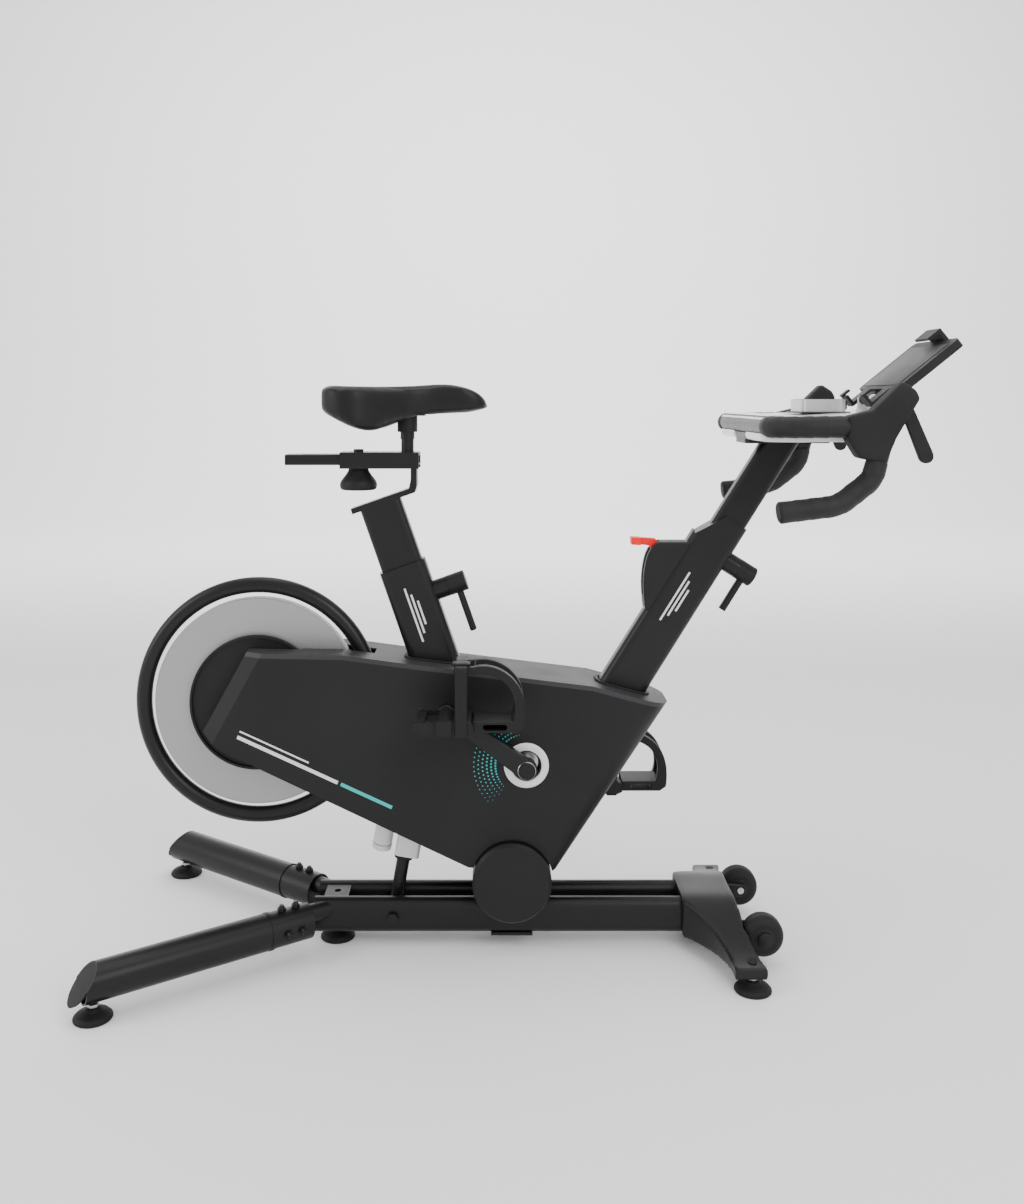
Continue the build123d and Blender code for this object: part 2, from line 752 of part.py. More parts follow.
with BuildPart() as brake_cover:
    with BuildSketch(side_plane(0)):
        with BuildLine():
            Spline(*cover_line[:5])
            Line(cover_line[4], cover_line[5])
            Line(cover_line[5], (318, 700))
            Line((318, 700), (240, 576))
            Line((240, 576), cover_line[0])
        make_face()
    extrude(amount=22, both=True)
    fillet(brake_cover.edges().filter_by(lambda e: abs(abs(e.center().Y) - 22) < 0.1), 3)
    with BuildSketch(side_plane(0)):
        with BuildLine():
            Polyline((199, 595), (196.5, 628), (201, 675), (208, 694), (222, 708.5), (320, 708.5), (330, 700),
                     (244, 560), close=True)
        make_face()
    extrude(amount=19, both=True, mode=Mode.SUBTRACT)
    with Locations((196, 0, 668)):
        Box(56, 13, 104, mode=Mode.SUBTRACT)
    add(head_slot(head_outer, 15, -430, 430), mode=Mode.SUBTRACT)
    with BuildSketch(side_plane(0)):
        with Locations(lever_pivot):
            Circle(4)
    extrude(amount=20, both=True)
write(brake_cover, "brake_cover")

with BuildPart() as resistance_lever:
    with BuildSketch(side_plane(0)):
        with BuildLine():
            Polyline((172, 707), (172, 720), (216, 717), (240, 680), (222, 664), (206, 704), close=True)
        make_face()
        with Locations(lever_pivot):
            Circle(10)
            Circle(4 + fit, mode=Mode.SUBTRACT)
    extrude(amount=5, both=True)
    with BuildSketch(side_plane(0)):
        with BuildLine():
            Polyline((172, 706), (172, 720), (190, 719), (190, 705), close=True)
        make_face()
    extrude(amount=12, both=True)
write(resistance_lever, "resistance_lever")

magnet_pivot = (-262, 384)
with BuildPart() as magnet_bracket:
    with BuildSketch(side_plane(0)):
        with Locations(magnet_pivot):
            Circle(12)
        with BuildLine():
            Polyline((-262, 396), (-292, 406), (-300, 362), (-262, 372), close=True)
        make_face()
    extrude(amount=20, both=True)
    for side in (-1, 1):
        with BuildSketch(side_plane(side * 14.5)):
            with BuildLine():
                Polyline((-292, 406), (-352, 412), (-358, 366), (-300, 362), close=True)
            make_face()
        extrude(amount=-side * 5.5)
    with BuildSketch(side_plane(0)):
        with Locations(magnet_pivot):
            Circle(pin_radius + fit)
    extrude(amount=30, both=True, mode=Mode.SUBTRACT)
write(magnet_bracket, "magnet_bracket")

# ---------------------------------------------------------------- drive
crank_dir = (-cos(radians(crank_angle)), sin(radians(crank_angle)))


def pedal_centre(side):
    """Right crank points back and up, left crank forward and down."""
    return (crank_x - side * crank_dir[0] * crank_length, crank_z - side * crank_dir[1] * crank_length)


with BuildPart() as crank_axle:
    with BuildSketch(side_plane(0)):
        with Locations((crank_x, crank_z)):
            Circle(10)
    extrude(amount=92, both=True)
write(crank_axle, "crank_axle")

with BuildPart() as drive_pulley:
    with BuildSketch(side_plane(belt_y)):
        with Locations((crank_x, crank_z)):
            Circle(pulley_radius)
    extrude(amount=belt_width / 2 + 0.5, both=True)
    with BuildSketch(side_plane(belt_y + 4)):
        with Locations((crank_x, crank_z)):
            Circle(pulley_radius - 9)
            Circle(28, mode=Mode.SUBTRACT)
    extrude(amount=-10, mode=Mode.SUBTRACT)
    with BuildSketch(side_plane(0)):
        with Locations((crank_x, crank_z)):
            with PolarLocations(55, 5):
                Circle(17)
            Circle(10)
    extrude(amount=60, both=True, mode=Mode.SUBTRACT)
write(drive_pulley, "drive_pulley")

for name, side in sides:
    px, pz = pedal_centre(side)
    with BuildPart() as crank_arm:
        with BuildSketch(side_plane(side * 85)):
            with BuildLine():
                Polyline(bar_between((crank_x, crank_z), (px, pz), 17, 13), close=True)
            make_face()
            with Locations((crank_x, crank_z)):
                Circle(18)
            with Locations((px, pz)):
                Circle(14)
        extrude(amount=-side * 15)
        fillet(crank_arm.edges().filter_by(lambda e: abs(abs(e.center().Y) - 100) < 0.1), 3)
        with BuildSketch(side_plane(side * 77)):
            with Locations((crank_x, crank_z)):
                Circle(17)
        extrude(amount=-side * 10)
        with BuildSketch(side_plane(side * 74)):
            with Locations((crank_x, crank_z)):
                Circle(10)
        extrude(amount=-side * 18, mode=Mode.SUBTRACT)
        with BuildSketch(side_plane(side * 99)):
            with Locations((px, pz)):
                Circle(7)
        extrude(amount=-side * 84)
    write(crank_arm, f"crank_arm_{name}")

pedal_in = 108
pedal_out = 188
for name, side in sides:
    px, pz = pedal_centre(side)
    with BuildPart() as pedal:
        for low, high in ((pedal_in, pedal_in + 7), (pedal_out - 7, pedal_out)):
            with BuildSketch(side_plane(side * low)):
                with BuildLine():
                    Polyline((px - 48, pz + 9), (px + 44, pz + 9), (px + 48, pz + 4), (px + 48, pz - 9),
                             (px + 40, pz - 13), (px - 36, pz - 13), (px - 52, pz - 2), close=True)
                make_face()
            extrude(amount=-side * (high - low))
        with BuildSketch(side_plane(side * pedal_in)):
            with Locations((px, pz)):
                Circle(13)
            with Locations((px - 38, pz), (px + 38, pz)):
                RectangleRounded(14, 17, 3)
            with Locations((px, pz)):
                Rectangle(80, 5)
        extrude(amount=-side * (pedal_out - pedal_in))
        with BuildSketch(side_plane(side * pedal_out)):
            with Locations((px, pz)):
                RectangleRounded(25, 24, 2)
        extrude(amount=-side * 7)
        with BuildSketch(side_plane(side * (pedal_in - 2))):
            with Locations((px, pz)):
                Circle(7 + fit)
        extrude(amount=-side * 84, mode=Mode.SUBTRACT)
    write(pedal, f"pedal_{name}")

    # toe cage: a band bent round the toe, with a strap that closes over the foot
    with BuildPart() as toe_cage:
        with BuildSketch(side_plane(side * (pedal_in + 8))):
            with BuildLine():
                Spline((px + 50, pz + 98), (px + 92, pz + 94), (px + 122, pz + 68), (px + 134, pz + 20),
                       (px + 132, pz - 2))
                Line((px + 132, pz - 2), (px + 120, pz - 10))
                Line((px + 120, pz - 10), (px + 48.5, pz - 10))
                Line((px + 48.5, pz - 10), (px + 48.5, pz + 8))
                Line((px + 48.5, pz + 8), (px + 112, pz + 8))
                Spline((px + 112, pz + 8), (px + 116, pz + 40), (px + 104, pz + 68), (px + 84, pz + 82),
                       (px + 50, pz + 86))
                Line((px + 50, pz + 86), (px + 50, pz + 98))
            make_face()
        extrude(amount=-side * 64)
        # window that leaves two side bands
        with BuildSketch(Plane.XY.offset(pz + 12)):
            with Locations((px + 90, side * (pedal_in + 40))):
                Rectangle(76, 34)
        extrude(amount=100, mode=Mode.SUBTRACT)
        with BuildSketch(side_plane(side * (pedal_in + 8))):
            with Locations((px + 84, pz - 1)):
                SlotOverall(40, 9)
        extrude(amount=-side * 64, mode=Mode.SUBTRACT)
        # strap loop round the pedal and over the cage
        with BuildSketch(Plane.YZ.offset(px + 18)):
            with Locations((side * (pedal_in + 40), pz + 42)):
                RectangleRounded(88, 116, 5)
                RectangleRounded(84, 112, 3, mode=Mode.SUBTRACT)
        extrude(amount=20)
        # lugs that tie the cage's upper bands to the strap
        with BuildSketch(side_plane(side * (pedal_in + 8))):
            with BuildLine():
                Polyline((px + 16, pz + 86), (px + 52, pz + 86), (px + 52, pz + 97.9), (px + 16, pz + 97.9), close=True)
            make_face()
        extrude(amount=-side * 12)
        with BuildSketch(side_plane(side * (pedal_in + 60))):
            with BuildLine():
                Polyline((px + 16, pz + 86), (px + 52, pz + 86), (px + 52, pz + 97.9), (px + 16, pz + 97.9), close=True)
            make_face()
        extrude(amount=-side * 12)
    write(toe_cage, f"toe_cage_{name}")

with BuildPart() as flywheel:
    with BuildSketch(side_plane(0)):
        with Locations((flywheel_x, flywheel_z)):
            Circle(flywheel_radius)
    extrude(amount=flywheel_half, both=True)
    chamfer(flywheel.edges().filter_by(GeomType.CIRCLE), 1.5)
    with BuildSketch(side_plane(-13)):
        with Locations((flywheel_x, flywheel_z)):
            Circle(30)
    extrude(amount=-33)
    with BuildSketch(side_plane(0)):
        with Locations((flywheel_x, flywheel_z)):
            Circle(7.5 + fit)
    extrude(amount=60, both=True, mode=Mode.SUBTRACT)
write(flywheel, "flywheel")

with BuildPart() as flywheel_pulley:
    with BuildSketch(side_plane(20)):
        with Locations((flywheel_x, flywheel_z)):
            Circle(small_pulley_radius)
            Circle(7.5 + fit, mode=Mode.SUBTRACT)
    extrude(amount=-(belt_y + belt_width / 2 + 0.5 - 20))
write(flywheel_pulley, "flywheel_pulley")


def belt_loop(extra):
    """Outline of the belt round both pulleys, extra outside the pulley faces."""
    with BuildSketch(mode=Mode.PRIVATE) as loop:
        with Locations((crank_x, crank_z)):
            Circle(pulley_radius + extra)
        with Locations((flywheel_x, flywheel_z)):
            Circle(small_pulley_radius + extra)
        make_hull()
    return loop.sketch


with BuildPart() as drive_belt:
    with BuildSketch(side_plane(belt_y)):
        add(belt_loop(gap + belt_thick))
        add(belt_loop(gap), mode=Mode.SUBTRACT)
    extrude(amount=belt_width / 2, both=True)
write(drive_belt, "drive_belt")

# ---------------------------------------------------------------- incline actuator
low_end = across(act_x, act_z, act_lean)
with BuildPart() as actuator_rod:
    with BuildSketch(low_end):
        Circle(rod_radius)
    extrude(amount=190)
    with BuildSketch(side_plane(0)):
        with Locations((act_x, act_z)):
            Circle(17)
    extrude(amount=12, both=True)
    with BuildSketch(side_plane(0)):
        with Locations((act_x, act_z)):
            Circle(pin_radius + eye_slack)
    extrude(amount=30, both=True, mode=Mode.SUBTRACT)
write(actuator_rod, "actuator_rod")

with BuildPart() as actuator_gearbox:
    with BuildSketch(low_end.offset(96)):
        with Locations((5, 0)):
            RectangleRounded(44, 38, 8)
    extrude(amount=64)
    with BuildSketch(low_end.offset(160)):
        Circle(16.5)
    extrude(amount=act_length - 160)
    # bridge to the motor
    with BuildSketch(low_end.offset(190)):
        with Locations((-24, 0)):
            RectangleRounded(86, 38, 10)
    extrude(amount=30)
    with BuildSketch(side_plane(0)):
        with Locations(act_pin):
            Circle(15.5)
    extrude(amount=14, both=True)
    with BuildSketch(low_end.offset(90)):
        Circle(rod_radius + 0.1)
    extrude(amount=act_length - 90 - 40, mode=Mode.SUBTRACT)
    with BuildSketch(side_plane(0)):
        with Locations(act_pin):
            Circle(pin_radius + fit)
    extrude(amount=30, both=True, mode=Mode.SUBTRACT)
write(actuator_gearbox, "actuator_gearbox")

with BuildPart() as actuator_motor:
    with BuildSketch(low_end.offset(98)):
        with Locations((-42, 0)):
            Circle(17)
    extrude(amount=92)
    chamfer(actuator_motor.edges().filter_by(GeomType.CIRCLE), 1.5)
write(actuator_motor, "actuator_motor")

# ---------------------------------------------------------------- seat
with BuildPart() as seat_post:
    add(seat_slot(seat_inner, 10, -seat_post_in, seat_post_in + seat_post_up))
    add(seat_slot((seat_inner[0] - 5, seat_inner[1] - 5), 8, -seat_post_in - 1, seat_post_in + seat_post_up - 9),
        mode=Mode.SUBTRACT)
    # bent bracket: a sloped plate on the post, an upright plate and the rail
    with BuildSketch(side_plane(0)):
        with BuildLine():
            slope_low = along(*seat_top, seat_lean, seat_post_up, -52)
            slope_high = along(*seat_top, seat_lean, seat_post_up, 66)
            Polyline(slope_low, along(*seat_top, seat_lean, seat_post_up + 10, -52),
                     along(*seat_top, seat_lean, seat_post_up + 10, 58), (-222, 823), (-222, rail_z[0] + 1),
                     (-211, rail_z[0] + 1), (-211, 812), slope_high, close=True)
        make_face()
    extrude(amount=19, both=True)
    with BuildSketch(Plane.YZ.offset(rail_x[0])):
        with Locations((0, sum(rail_z) / 2)):
            RectangleRounded(2 * rail_half, rail_z[1] - rail_z[0], 4)
            RectangleRounded(2 * rail_half - 6, rail_z[1] - rail_z[0] - 6, 2, mode=Mode.SUBTRACT)
    extrude(amount=rail_x[1] - rail_x[0])
    # slot of the clamp bolt
    with BuildSketch(Plane.XY.offset(rail_z[0] - 5)):
        with Locations((knob_x - 47, 0)):
            SlotOverall(110, 12)
    extrude(amount=30, mode=Mode.SUBTRACT)
write(seat_post, "seat_post")

with BuildPart() as seat_carriage:
    with BuildSketch(Plane.YZ.offset(-348)):
        with BuildLine():
            Polyline((-26, 843), (-26, 872), (26, 872), (26, 843), (rail_half + gap, 843),
                     (rail_half + gap, rail_z[1] + gap), (-rail_half - gap, rail_z[1] + gap),
                     (-rail_half - gap, 843), close=True)
        make_face()
    extrude(amount=141)
    with Locations((stem_x, 0, 872)):
        Cylinder(11.35, 50, align=(Align.CENTER, Align.CENTER, Align.MIN))
    with Locations((stem_x, 0, 895)):
        Cylinder(12.7, 30, align=(Align.CENTER, Align.CENTER, Align.MIN))
    # clamp bolt with a domed head
    with Locations((knob_x, 0, 872)):
        Cylinder(9, 5, align=(Align.CENTER, Align.CENTER, Align.MIN))
    with Locations((knob_x, 0, 815)):
        Cylinder(5, 60, align=(Align.CENTER, Align.CENTER, Align.MIN))
write(seat_carriage, "seat_carriage")

with BuildPart() as seat_knob:
    with BuildSketch(Plane(origin=(knob_x, 0, 0), x_dir=(1, 0, 0), z_dir=(0, -1, 0))):
        with BuildLine():
            Line((5 + fit, 848.5), (17, 848.5))
            Spline((17, 848.5), (18, 840), (27, 826), (33, 816), (33.5, 811), (30, 804))
            Line((30, 804), (0, 804))
            Line((0, 804), (0, 814))
            Line((0, 814), (5 + fit, 814))
            Line((5 + fit, 814), (5 + fit, 848.5))
        make_face()
    revolve(axis=Axis((knob_x, 0, 0), (0, 0, 1)))
write(seat_knob, "seat_knob")


def clamp_lever(top, lean, boss_down, outer_width, reach):
    """Clamp screw and handle at the end of a boss; the handle hangs parallel to the tube."""
    face = along(*top, lean, -boss_down, outer_width / 2)
    ahead = across(*face, lean).x_dir
    up = across(*face, lean).z_dir
    start = Vector(face[0], 0, face[1])
    with BuildPart(mode=Mode.PRIVATE) as piece:
        with BuildSketch(Plane(origin=start + ahead * 1, z_dir=ahead)):
            Circle(screw_radius)
        extrude(amount=26)
        with BuildSketch(Plane(origin=start + ahead * 24.3, z_dir=ahead)):
            Circle(boss_radius)
        extrude(amount=32)
        with BuildSketch(Plane(origin=start + ahead * 40 - up * 12, x_dir=ahead, z_dir=-up)):
            RectangleRounded(12, 15, 5)
        extrude(amount=reach)
        chamfer(piece.edges().filter_by(GeomType.CIRCLE).group_by(Axis.X)[-1], 1.5)
    return piece.part


with BuildPart() as seat_clamp_lever:
    add(clamp_lever(seat_top, seat_lean, seat_boss_down, seat_outer[0], 78))
write(seat_clamp_lever, "seat_clamp_lever")

with BuildPart() as bar_clamp_lever:
    add(clamp_lever(head_top, head_lean, head_boss_down, head_outer[0], 66))
write(bar_clamp_lever, "bar_clamp_lever")

with BuildPart() as saddle_base:
    with Locations((stem_x, 0, 908)):
        Cylinder(18, 30, align=(Align.CENTER, Align.CENTER, Align.MIN))
    with Locations((stem_x, 0, 944)):
        Box(64, 50, 14)
    with Locations((stem_x, 0, 895)):
        Cylinder(12.7, 30, align=(Align.CENTER, Align.CENTER, Align.MIN), mode=Mode.SUBTRACT)
write(saddle_base, "saddle_base")

with BuildPart() as saddle_pad:
    with BuildSketch(Plane.XY.offset(900)):
        with BuildLine():
            half = Spline((-81, 0), (-92, 22), (-150, 32), (-215, 44), (-275, 96), (-325, 119), (-368, 96),
                          (-377, 50), (-372, 0))
            mirror(half, about=Plane.XZ)
        make_face()
    extrude(amount=95)
    with BuildSketch(side_plane(0)):
        with BuildLine():
            top = Spline((-380, 984), (-300, 980), (-210, 982), (-140, 984), (-100, 973), (-80, 950))
            Line(top @ 1, (-80, 944))
            low = Spline((-80, 944), (-140, 943), (-215, 936), (-255, 924), (-292, 914), (-330, 926), (-380, 944))
            Line(low @ 1, top @ 0)
        make_face()
    extrude(amount=130, both=True, mode=Mode.INTERSECT)
    with Locations((stem_x, 0, 922)):
        Box(65, 51, 58.6, mode=Mode.SUBTRACT)
write(saddle_pad, "saddle_pad")

# ---------------------------------------------------------------- handlebar
post_top = along(*head_top, head_lean, bar_post_up, head_offset)
with BuildPart() as bar_post:
    add(head_slot(head_inner, 10, -bar_post_in, bar_post_in + bar_post_up + 20, head_offset))
    add(head_slot((head_inner[0] - 5, head_inner[1] - 5), 8, -bar_post_in - 1, bar_post_in + bar_post_up - 20,
                  head_offset), mode=Mode.SUBTRACT)
    with BuildSketch(side_plane(0)):
        with BuildLine():
            Polyline((300, 896), (600, 896), (600, 1100), (300, 1100), close=True)
        make_face()
    extrude(amount=60, both=True, mode=Mode.SUBTRACT)
    # mounting plate below the console, with an arm to the cross bar
    with BuildSketch(Plane.XY.offset(889)):
        with Locations((445, 0)):
            RectangleRounded(150, 90, 10)
    extrude(amount=7)
    with Locations((bar_x + 4, 0, 900)):
        Box(30, 80, 16)
    with BuildSketch(Plane(origin=(bar_x, 0, bar_z), z_dir=(0, 1, 0))):
        Circle(bar_radius)
    extrude(amount=90, both=True, mode=Mode.SUBTRACT)
write(bar_post, "bar_post")


def bar_points(side):
    """Handlebar from its centre out to the side, forward through the hood, down and back."""
    y = side * bar_y
    return [(bar_x, 0, bar_z), (bar_x, y, bar_z), (556, y, bar_z + 2), (532, y, 838), (478, y, 796), (386, y, 785)]


def bar_path(side):
    with BuildLine(mode=Mode.PRIVATE) as path:
        FilletPolyline(*bar_points(side), radius=[52, 34, 44, 60])
    return path.line


def bar_tube(radius, side):
    path = bar_path(side)
    with BuildPart(mode=Mode.PRIVATE) as tube:
        with BuildSketch(Plane(origin=path @ 0, z_dir=path % 0)):
            Circle(radius)
        sweep(path=path)
    return tube.part


with BuildPart() as handlebar:
    for side in (-1, 1):
        add(bar_tube(bar_radius, side))
    for side in (-1, 1):
        add(bar_tube(bar_radius - 3, side), mode=Mode.SUBTRACT)
write(handlebar, "handlebar")

bars = [bar_tube(bar_radius, side) for side in (-1, 1)]

with BuildPart() as lever_hoods:
    for side in (-1, 1):
        with BuildSketch(side_plane(side * bar_y)):
            with BuildLine():
                Polyline((489, 940), (530, 950), (577, 996), (598, 982), (605, 968), (583, 932), (567, 905),
                         (550, 864), (507, 873), (489, 903), close=True)
            outline = make_face()
            fillet(outline.vertices(), 4)
        extrude(amount=19, both=True)
    chamfer(lever_hoods.edges().filter_by(lambda e: abs(abs(abs(e.center().Y) - bar_y) - 19) < 0.1), 3)
    # slot the paddle swings in
    for side in (-1, 1):
        with BuildSketch(side_plane(side * bar_y)):
            with BuildLine():
                Polyline((572, 962), (580, 905), (560, 880), (640, 880), (640, 940), (596, 968), close=True)
            make_face()
        extrude(amount=6, both=True, mode=Mode.SUBTRACT)
    for bar in bars:
        add(bar, mode=Mode.SUBTRACT)
    for side in (-1, 1):
        with BuildSketch(side_plane(side * bar_y)):
            with Locations((588, 950)):
                Circle(3)
        extrude(amount=10, both=True)
write(lever_hoods, "lever_hoods")

for name, side in sides:
    with BuildPart() as paddle:
        with BuildSketch(side_plane(side * bar_y)):
            with BuildLine():
                Polyline(bar_between((588, 950), (618, 876), 10, 12), close=True)
            make_face()
            with Locations((588, 950)):
                Circle(10)
            with Locations((618, 876)):
                Circle(12)
            with Locations((588, 950)):
                Circle(3 + fit, mode=Mode.SUBTRACT)
        extrude(amount=5, both=True)
    write(paddle, f"paddle_{name}")

with BuildPart() as console:
    with BuildSketch(Plane.XY.offset(896)):
        with BuildLine():
            Polyline((368, -170), (368, 170), (420, 196), (520, 196), (560, 150), (622, 110), (622, -110),
                     (560, -150), (520, -196), (420, -196), close=True)
        outline = make_face()
        fillet(outline.vertices(), 16)
    extrude(amount=70)
    with BuildSketch(side_plane(0)):
        with BuildLine():
            Spline((360, 926), (372, 937), (420, 940), (520, 942), (625, 948))
            Line((625, 948), (625, 930))
            Line((625, 930), (540, 912))
            Line((540, 912), (500, 897))
            Line((500, 897), (372, 896))
            Line((372, 896), (360, 910))
            Line((360, 910), (360, 926))
        make_face()
    extrude(amount=220, both=True, mode=Mode.INTERSECT)
    with BuildSketch(Plane.XY.offset(890)):
        with Locations((480, 0)):
            RectangleRounded(130, 200, 20)
    extrude(amount=44, mode=Mode.SUBTRACT)
    for bar in bars:
        add(bar, mode=Mode.SUBTRACT)
    with BuildSketch(Plane.XY.offset(880)):
        with Locations((bar_x + 4, 0)):
            Rectangle(62, 92)
    extrude(amount=36, mode=Mode.SUBTRACT)
    # ears of the tablet holder's hinge
    for y in (-30, 30):
        with BuildSketch(side_plane(y)):
            with BuildLine():
                Polyline((588, 938), (612, 938), (610, 966), (590, 966), close=True)
            make_face()
            with Locations((600, 966)):
                Circle(10)
        extrude(amount=4, both=True)
    with BuildSketch(side_plane(0)):
        with Locations((600, 966)):
            Circle(3.5)
    extrude(amount=34, both=True)
write(console, "console")

with BuildPart() as display:
    with BuildSketch(Plane.XY.offset(938.5)):
        with Locations((509, 0)):
            RectangleRounded(78, 96, 14)
    extrude(amount=28)
    with BuildSketch(side_plane(0)):
        with BuildLine():
            Polyline((440, 900), (440, 941), (560, 944.6), (560, 900), close=True)
        make_face()
    extrude(amount=80, both=True, mode=Mode.SUBTRACT)
write(display, "display")

panel_plane = Plane(origin=(panel_low[0], 0, panel_low[1]),
                    x_dir=(cos(radians(panel_tilt)), 0, sin(radians(panel_tilt))),
                    z_dir=(-sin(radians(panel_tilt)), 0, cos(radians(panel_tilt))))
with BuildPart() as tablet_holder:
    with BuildSketch(panel_plane):
        with Locations((panel_length / 2, 0)):
            RectangleRounded(panel_length, 2 * panel_half, 12)
    extrude(amount=-panel_thick)
    # lower ledges with lips and end hooks, one each side of the hinge
    for y in (-51, 51):
        with BuildSketch(panel_plane.offset(-6)):
            with Locations((-20, y)):
                Rectangle(46, 30)
        extrude(amount=6)
        with BuildSketch(panel_plane.offset(-6)):
            with Locations((-40, y)):
                Rectangle(6, 30)
        extrude(amount=22)
        with BuildSketch(panel_plane.offset(16)):
            with Locations((-34, y * 1.16)):
                Rectangle(18, 15)
        extrude(amount=4)
    # hinge knuckle
    with BuildSketch(side_plane(0)):
        with Locations((600, 966)):
            Circle(9)
        with BuildLine():
            Polyline((594, 960), (606, 960), (622, 976), (604, 980), close=True)
        make_face()
    extrude(amount=25.5, both=True)
    with BuildSketch(side_plane(0)):
        with Locations((600, 966)):
            Circle(3.5 + fit)
    extrude(amount=60, both=True, mode=Mode.SUBTRACT)
    # pocket of the upper clip's tongue
    with BuildSketch(Plane(origin=panel_plane.from_local_coords(Vector(panel_length + 1, 0, -panel_thick / 2)),
                           x_dir=(0, 1, 0), z_dir=panel_plane.x_dir)):
        Rectangle(52, 5)
    extrude(amount=-110, mode=Mode.SUBTRACT)
write(tablet_holder, "tablet_holder")

with BuildPart() as tablet_clip:
    tongue = Plane(origin=panel_plane.from_local_coords(Vector(panel_length - 95, 0, -panel_thick / 2)),
                   x_dir=(0, 1, 0), z_dir=panel_plane.x_dir)
    with BuildSketch(tongue):
        Rectangle(51, 4)
    extrude(amount=100)
    with BuildSketch(side_plane(0)):
        with BuildLine():
            Polyline(*[(p.X, p.Z) for p in (
                panel_plane.from_local_coords(Vector(u, 0, w)) for u, w in (
                    (panel_length + 1, -12), (panel_length + 1, 12), (panel_length - 20, 14),
                    (panel_length - 20, 19), (panel_length + 9, 19), (panel_length + 9, -12)))], close=True)
        make_face()
    extrude(amount=32, both=True)
write(tablet_clip, "tablet_clip")
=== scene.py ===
import bpy
import json
import math
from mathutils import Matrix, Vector


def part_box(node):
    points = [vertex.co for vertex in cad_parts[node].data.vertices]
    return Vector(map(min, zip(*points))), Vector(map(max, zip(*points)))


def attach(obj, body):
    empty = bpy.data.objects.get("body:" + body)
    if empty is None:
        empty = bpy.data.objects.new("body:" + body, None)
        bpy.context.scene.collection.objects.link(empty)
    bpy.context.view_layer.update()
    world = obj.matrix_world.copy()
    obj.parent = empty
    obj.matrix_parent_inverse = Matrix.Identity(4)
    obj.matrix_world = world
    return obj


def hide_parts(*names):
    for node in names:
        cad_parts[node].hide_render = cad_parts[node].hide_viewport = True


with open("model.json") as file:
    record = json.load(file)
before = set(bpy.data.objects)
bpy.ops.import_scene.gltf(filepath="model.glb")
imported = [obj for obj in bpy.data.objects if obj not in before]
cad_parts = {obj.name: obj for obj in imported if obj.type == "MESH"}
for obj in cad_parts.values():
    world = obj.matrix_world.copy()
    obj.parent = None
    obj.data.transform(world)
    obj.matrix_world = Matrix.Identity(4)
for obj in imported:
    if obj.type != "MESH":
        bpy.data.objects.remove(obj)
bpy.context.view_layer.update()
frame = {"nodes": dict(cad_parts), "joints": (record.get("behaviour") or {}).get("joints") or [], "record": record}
joints = {joint["name"]: joint for joint in frame["joints"]}
print("frame loaded")


# ---- small helpers

def clearSelection():
    if bpy.context.object and bpy.context.object.mode != "OBJECT":
        bpy.ops.object.mode_set(mode="OBJECT")
    bpy.ops.object.select_all(action="DESELECT")


def makeActive(piece):
    clearSelection()
    piece.select_set(True)
    bpy.context.view_layer.objects.active = piece


def applyAll(piece):
    makeActive(piece)
    bpy.ops.object.transform_apply(location=True, rotation=True, scale=True)
    for modifier in list(piece.modifiers):
        bpy.ops.object.modifier_apply(modifier=modifier.name)


def dress(piece, name, finish, body, angle=35):
    applyAll(piece)
    piece.name = name
    piece.data.materials.clear()
    piece.data.materials.append(finishes[finish])
    bpy.ops.object.shade_smooth_by_angle(angle=math.radians(angle))
    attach(piece, body)
    return piece


def middle(node):
    low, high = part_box(node)
    return (Vector(low) + Vector(high)) / 2


def outerFace(node, side):
    # the Y of a node's left end for side 1, of its right end for side -1
    low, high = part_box(node)
    return high[1] if side > 0 else low[1]


def jointPoint(name):
    return Vector(joints[name]["pos_m"])


def jointAxis(name):
    return Vector(joints[name]["axis"]).normalized()


def turned(section, centre, axis=(0, 1, 0), steps=72):
    # a section of (radius, distance along the axis) points, spun round the axis
    clearSelection()
    bpy.ops.mesh.primitive_circle_add(vertices=len(section), radius=0.01)
    piece = bpy.context.object
    for vertex, (radius, along) in zip(piece.data.vertices, section):
        vertex.co = (radius, 0, along)
    bpy.ops.object.mode_set(mode="EDIT")
    bpy.ops.mesh.select_all(action="SELECT")
    bpy.ops.mesh.spin(steps=steps, angle=2 * math.pi, center=(0, 0, 0), axis=(0, 0, 1))
    bpy.ops.mesh.select_all(action="SELECT")
    bpy.ops.mesh.remove_doubles(threshold=0.00002)
    bpy.ops.mesh.normals_make_consistent(inside=False)
    bpy.ops.object.mode_set(mode="OBJECT")
    piece.rotation_mode = "QUATERNION"
    piece.rotation_quaternion = Vector(axis).to_track_quat("Z", "Y")
    piece.location = centre
    applyAll(piece)
    return piece


def block(centre, size, edge, lean=0.0, segments=3):
    # a rounded block, turned about Y so that its top leans forward by lean degrees
    clearSelection()
    bpy.ops.mesh.primitive_cube_add(size=1, location=centre, scale=size)
    piece = bpy.context.object
    bpy.ops.object.transform_apply(location=False, rotation=False, scale=True)
    piece.rotation_euler = (0, math.radians(lean), 0)
    rounding = piece.modifiers.new("edges", "BEVEL")
    rounding.width = edge
    rounding.segments = segments
    applyAll(piece)
    return piece


def joined(pieces):
    clearSelection()
    for piece in pieces:
        piece.select_set(True)
    bpy.context.view_layer.objects.active = pieces[0]
    bpy.ops.object.join()
    return pieces[0]


